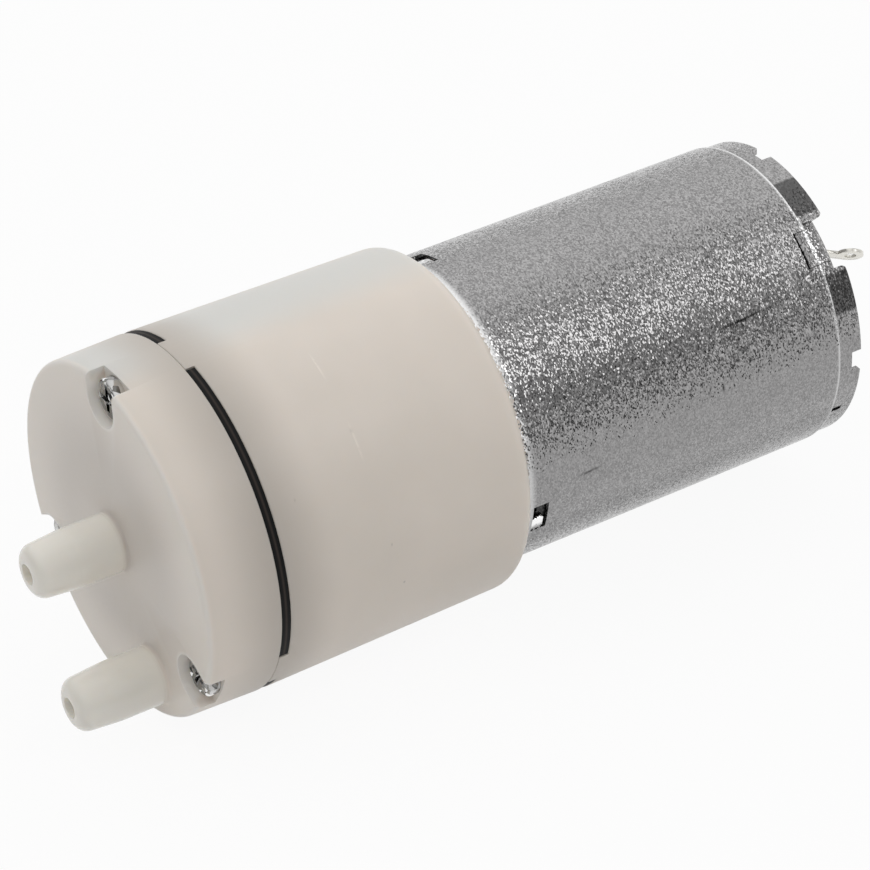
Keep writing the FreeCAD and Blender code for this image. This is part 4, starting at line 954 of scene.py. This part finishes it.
class PUMP_OT_can(bpy.types.Operator):
    """Deep-drawn motor can with front windows and a stepped rim"""
    bl_idname = "pump.can"
    bl_label = "Motor can"

    def execute(self, context):
        sizes = motor()
        bore = CAN_RADIUS - sizes.wall
        rim = CAN_RADIUS - sizes.rim_step
        can = turned("can", [
            (BOSS_FRONT, BEARING_RADIUS, 0.0),
            (BOSS_FRONT, BOSS_RADIUS, 0.2 * MM),
            (CAN_FRONT, BOSS_RADIUS, 0.2 * MM),
            (CAN_FRONT, CAN_RADIUS, sizes.edge_round),
            (CAN_BACK, CAN_RADIUS, 0.1 * MM),
            (CAN_BACK + 0.12 * MM, rim, 0.08 * MM),
            (RIM_END, rim, 0.12 * MM),
            (RIM_END, bore, 0.05 * MM),
            (CAN_FRONT + sizes.wall, bore, 0.3 * MM),
            (CAN_FRONT + sizes.wall, BEARING_RADIUS, 0.0),
        ])
        outside = CAN_RADIUS + MM
        inside = bore - MM
        window_front = CAN_FRONT + 0.8 * MM
        gap_front = CAN_BACK + 0.2 * MM
        half_gap = sizes.rim_gap / 2
        tools = []
        lugs = []
        for key in KEYS:
            tools.append(slab("KeySlot", CAN_BACK - 1.1 * MM, RIM_END + MM, inside, outside,
                              sizes.key_width + 0.1 * MM, key))
            tools.append(outline_block("RimGap", [
                (gap_front, -half_gap, 0.0),
                (gap_front, half_gap, 0.0),
                (RIM_END, half_gap, sizes.rim_corner),
                (RIM_END + 0.1 * MM, half_gap + MM, 0.0),
                (RIM_END + MM, half_gap + MM, 0.0),
                (RIM_END + MM, -half_gap - MM, 0.0),
                (RIM_END + 0.1 * MM, -half_gap - MM, 0.0),
                (RIM_END, -half_gap, sizes.rim_corner),
            ], inside, outside, key))
            slit = sizes.slit_angle + key - KEY_ANGLE
            tools.append(slab("Slit", gap_front, CAN_BACK + 1.1 * MM, inside, outside, 0.45 * MM, slit))
            for side in (-1, 1):
                window = key + side * sizes.window_spread
                notch = key + side * sizes.notch_spread
                tools.append(slab("Slit", window_front, window_front + 0.5 * MM, inside, outside,
                                  sizes.window_width, window))
                tools.append(slab("Recess", window_front, window_front + 1.3 * MM, CAN_RADIUS - 0.4 * MM,
                                  outside, sizes.window_width, window))
                tools.append(slab("Notch", RIM_END - 0.9 * MM, RIM_END + MM, inside, outside, 1.9 * MM, notch))
                lugs.append(window)
        carve(can, tools)
        carve(can, [self.lug(window_front, window) for window in lugs], "UNION")
        finish_piece(can, "motor_can", "plated_can")
        return {"FINISHED"}

    def lug(self, front, window):
        """Sheet lug staked into one half of a window."""
        lug = outline_block("Lug", [
            (front - 0.1 * MM, 0.05 * MM, 0.0),
            (front + 1.05 * MM, 0.05 * MM, 0.2 * MM),
            (front + 1.05 * MM, 1.2 * MM, 0.2 * MM),
            (front - 0.1 * MM, 1.2 * MM, 0.0),
        ], CAN_RADIUS - 0.7 * MM, CAN_RADIUS - 0.08 * MM, window)
        soften(lug, 0.08 * MM)
        return lug


# Motor rear end

class PUMP_OT_end_plate(bpy.types.Operator):
    """End plate with two keys, terminal slots and the rear bearing boss"""
    bl_idname = "pump.end_plate"
    bl_label = "End plate"

    def execute(self, context):
        sizes = motor()
        bore = CAN_RADIUS - sizes.wall
        plate = turned("end_plate_dressed", [
            (PLATE_FRONT, BEARING_RADIUS, 0.0),
            (PLATE_FRONT, bore - 0.05 * MM, 0.0),
            (PLATE_BACK, bore - 0.05 * MM, 0.25 * MM),
            (PLATE_BACK, 6.2 * MM, 0.3 * MM),
            (PLATE_BACK - 0.3 * MM, 5.9 * MM, 0.3 * MM),
            (PLATE_BACK - 0.3 * MM, 3.3 * MM, 0.2 * MM),
            (PLATE_BACK, BOSS_RADIUS, 0.1 * MM),
            (REAR_BOSS_END, BOSS_RADIUS, 0.35 * MM),
            (REAR_BOSS_END, BEARING_RADIUS, 0.1 * MM),
        ])
        half_turn = math.asin(sizes.key_width / 2 / CAN_RADIUS)
        for key in KEYS:
            tab = turned("Key", [
                (CAN_BACK - 0.95 * MM, bore + 0.02 * MM, 0.0),
                (CAN_BACK - 0.95 * MM, CAN_RADIUS, 0.12 * MM),
                (KEY_BACK, CAN_RADIUS, 0.12 * MM),
                (KEY_BACK, KEY_FOOT, 0.0),
                (PLATE_FRONT + 0.2 * MM, KEY_FOOT, 0.0),
                (PLATE_FRONT + 0.2 * MM, bore + 0.02 * MM, 0.0),
            ], start=key - half_turn, sweep=2 * half_turn, arc_steps=3)
            self.panel(tab)
            carve(plate, [tab], "UNION")
            carve(plate, [slab("Slot", PLATE_FRONT - MM, PLATE_BACK + MM, 6.8 * MM, 8.4 * MM, 0.85 * MM, key)])
        finish_piece(plate, "end_plate", "plated_can")
        return {"FINISHED"}

    def panel(self, tab):
        """Pressed panel in a key's outer face."""
        edit(tab)
        bpy.ops.mesh.select_mode(type="FACE")
        shape = bmesh.from_edit_mesh(tab.data)
        for face in shape.faces:
            middle = face.calc_center_median()
            outer = math.hypot(middle.y, middle.z) > CAN_RADIUS - 0.02 * MM
            face.select_set(outer and abs(face.normal.x) < 0.1)
        bmesh.update_edit_mesh(tab.data)
        bpy.ops.mesh.inset(thickness=0.28 * MM, depth=-0.1 * MM)
        bpy.ops.mesh.select_mode(type="VERT")
        leave()


class PUMP_OT_terminals(bpy.types.Operator):
    """Two solder terminals, each with a bent leaf and an eyelet"""
    bl_idname = "pump.terminals"
    bl_label = "Terminals"

    def execute(self, context):
        for index, name in enumerate(("first_terminal_eyelet", "second_terminal_eyelet"), 1):
            self.terminal(index, KEYS[index - 1], MOUNTS[name])
        return {"FINISHED"}

    def terminal(self, index, key, mount):
        """Blade with a bent leaf, a round eye and its hole."""
        width, sheet, pitch = TERMINAL_WIDTH, TERMINAL_SHEET, TERMINAL_PITCH
        bend = 0.6 * MM
        tangent = bend * math.tan(LEAF_BEND / 2)
        start = LEAF_START - tangent
        radial = around(0.0, 1.0, key)
        side = around(0.0, 1.0, key + math.pi / 2)
        blade = slab("terminal_dressed_%d" % index, TERMINAL_BOX[0].x, start, pitch - width / 2,
                     pitch + width / 2, sheet, key)
        edit(blade)
        pick(blade, lambda co: co.x > start - 0.01 * MM)
        bpy.ops.mesh.spin(steps=6, angle=LEAF_BEND, center=around(start, pitch, key) + bend * side, axis=radial)
        run = Vector((math.cos(LEAF_BEND), 0.0, 0.0)) + math.sin(LEAF_BEND) * side
        bpy.ops.mesh.extrude_region_move(TRANSFORM_OT_translate={"value": run * (LEAF_LENGTH - tangent)})
        leave()
        carve(blade, [self.disc("Eye", mount, EYE_RADIUS, sheet)], "UNION")
        carve(blade, [self.disc("Eyelet", mount, mount["dims"]["r_mm"] * MM, 2 * MM)])
        soften(blade, 0.05 * MM)
        finish_piece(blade, "terminal_%d" % index, "tinned_brass")

    def disc(self, name, mount, radius, depth):
        """Cylinder about the eyelet's axis."""
        turn = Vector(mount["axis"]).to_track_quat("Z", "Y").to_euler()
        bpy.ops.object.select_all(action="DESELECT")
        bpy.ops.mesh.primitive_cylinder_add(vertices=40, radius=radius, depth=depth,
                                            location=mount["pos_m"], rotation=turn)
        bpy.context.object.name = name
        return settle(bpy.context.object)


# Stage

WHITE = (1.0, 1.0, 1.0, 1.0)
# The light above and behind: where it comes from, and over which lean it fades
LIGHT_FROM = (0.311, 0.146, 0.939)
LIGHT_FADE = (-0.056, 0.644)
# The window beside the camera and the dark frame round it, with outer and inner half angles in degrees
WINDOW_FROM = (0.42, -0.543, 0.727)
WINDOW_ANGLES = (15, 9)
FRAME_ANGLES = (34, 20)
FRAME_SHADE = 0.65


class PUMP_OT_stage(bpy.types.Operator):
    """Camera at the photograph's angle, pale floor and soft light"""
    bl_idname = "pump.stage"
    bl_label = "Stage"

    def execute(self, context):
        self.camera()
        self.floor()
        self.light()
        bpy.context.scene.view_settings.view_transform = "Standard"
        return {"FINISHED"}

    def camera(self):
        """Camera where the photograph was taken from."""
        view = stage()
        bpy.ops.object.camera_add(location=view.eye)
        camera = bpy.context.object
        camera.name = "PhotoCamera"
        camera.data.lens = view.focal
        camera.data.sensor_width = 36.0
        camera.data.clip_start = 0.01
        camera.data.clip_end = 10.0
        level = Matrix.Rotation(view.azimuth, 3, "Z") @ Matrix.Rotation(math.pi / 2 - view.elevation, 3, "X")
        camera.rotation_euler = (level @ Matrix.Rotation(view.roll, 3, "Z")).to_euler()
        bpy.context.scene.camera = camera

    def floor(self):
        """Pale floor under the pump, plain white to the camera and keeping the shadow."""
        bpy.ops.object.select_all(action="DESELECT")
        bpy.ops.mesh.primitive_plane_add(size=8.0, location=(0.0, 0.0, -SEAM_RADIUS))
        floor = bpy.context.object
        floor.name = "floor"
        material, tree, shader = principled("PaleFloor", tints().floor, Roughness=0.9, Specular_IOR_Level=0.0)
        path = node(tree, "LightPath").outputs
        mirrored = calc(tree, "ADD", path["Is Glossy Ray"], path["Is Transmission Ray"])
        seen = calc(tree, "ADD", path["Is Camera Ray"], mirrored, use_clamp=True)
        white = node(tree, "Emission", {"Color": WHITE, "Strength": 1.0})
        blend = node(tree, "MixShader", {0: calc(tree, "MULTIPLY", seen, stage().white_share),
                                         1: shader.outputs[0], 2: white.outputs[0]})
        tree.links.new(blend.outputs[0], tree.nodes["Material Output"].inputs["Surface"])
        floor.data.materials.append(material)

    def light(self):
        """A wide soft light from above, fading to a dim room before the head, and a small window."""
        world = bpy.context.scene.world or bpy.data.worlds.new("World")
        bpy.context.scene.world = world
        world.use_nodes = True
        tree = world.node_tree
        tree.nodes.clear()
        way = node(tree, "TexCoord").outputs["Generated"]
        level = node(tree, "MapRange", {
            "Value": vector(tree, "DOT_PRODUCT", way, LIGHT_FROM),
            "From Min": LIGHT_FADE[0],
            "From Max": LIGHT_FADE[1],
            "To Min": stage().dim,
            "To Max": stage().bright,
        }, interpolation_type="SMOOTHSTEP")
        aim = vector(tree, "DOT_PRODUCT", way, WINDOW_FROM)
        frame_dark = calc(tree, "MULTIPLY_ADD", self.cone(tree, aim, *FRAME_ANGLES), -FRAME_SHADE, 1.0)
        framed = calc(tree, "MULTIPLY", level.outputs["Result"], frame_dark)
        strength = calc(tree, "MULTIPLY_ADD", self.cone(tree, aim, *WINDOW_ANGLES), stage().window, framed)
        soft = node(tree, "Background", {"Color": WHITE, "Strength": strength})
        node(tree, "OutputWorld", {"Surface": soft.outputs[0]})

    def cone(self, tree, aim, outer, inner):
        """Mask round the aimed direction, soft between two half angles in degrees."""
        return node(tree, "MapRange", {"Value": aim, "From Min": math.cos(math.radians(outer)),
                                       "From Max": math.cos(math.radians(inner))},
                    interpolation_type="SMOOTHSTEP").outputs["Result"]


class PUMP_PT_panel(bpy.types.Panel):
    """Buttons and sizes of the pump"""
    bl_label = "Diaphragm Pump"
    bl_idname = "PUMP_PT_panel"
    bl_space_type = "VIEW_3D"
    bl_region_type = "UI"
    bl_category = "Pump"

    def draw(self, context):
        for operator in OPERATORS:
            self.layout.operator(operator.bl_idname)
        for group, kind in GROUPS.items():
            box = self.layout.box()
            for name in kind.__annotations__:
                box.prop(getattr(context.scene, group), name)


OPERATORS = (
    PUMP_OT_finishes,
    PUMP_OT_cover,
    PUMP_OT_casing,
    PUMP_OT_screws,
    PUMP_OT_can,
    PUMP_OT_end_plate,
    PUMP_OT_terminals,
    PUMP_OT_stage,
)
GROUPS = {
    "pump_head": PumpHeadSizes,
    "pump_motor": MotorSizes,
    "pump_colours": PumpColours,
    "pump_stage": PumpStage,
}


def register():
    for group, kind in GROUPS.items():
        bpy.utils.register_class(kind)
        setattr(bpy.types.Scene, group, PointerProperty(type=kind))
    for kind in (*OPERATORS, PUMP_PT_panel):
        bpy.utils.register_class(kind)


def unregister():
    for kind in (PUMP_PT_panel, *reversed(OPERATORS)):
        bpy.utils.unregister_class(kind)
    for group, kind in GROUPS.items():
        delattr(bpy.types.Scene, group)
        bpy.utils.unregister_class(kind)


def main():
    register()
    bpy.ops.pump.finishes()
    bpy.ops.pump.cover()
    bpy.ops.pump.casing()
    bpy.ops.pump.screws()
    bpy.ops.pump.can()
    bpy.ops.pump.end_plate()
    bpy.ops.pump.terminals()
    bpy.ops.pump.stage()


if __name__ == "__main__":
    main()
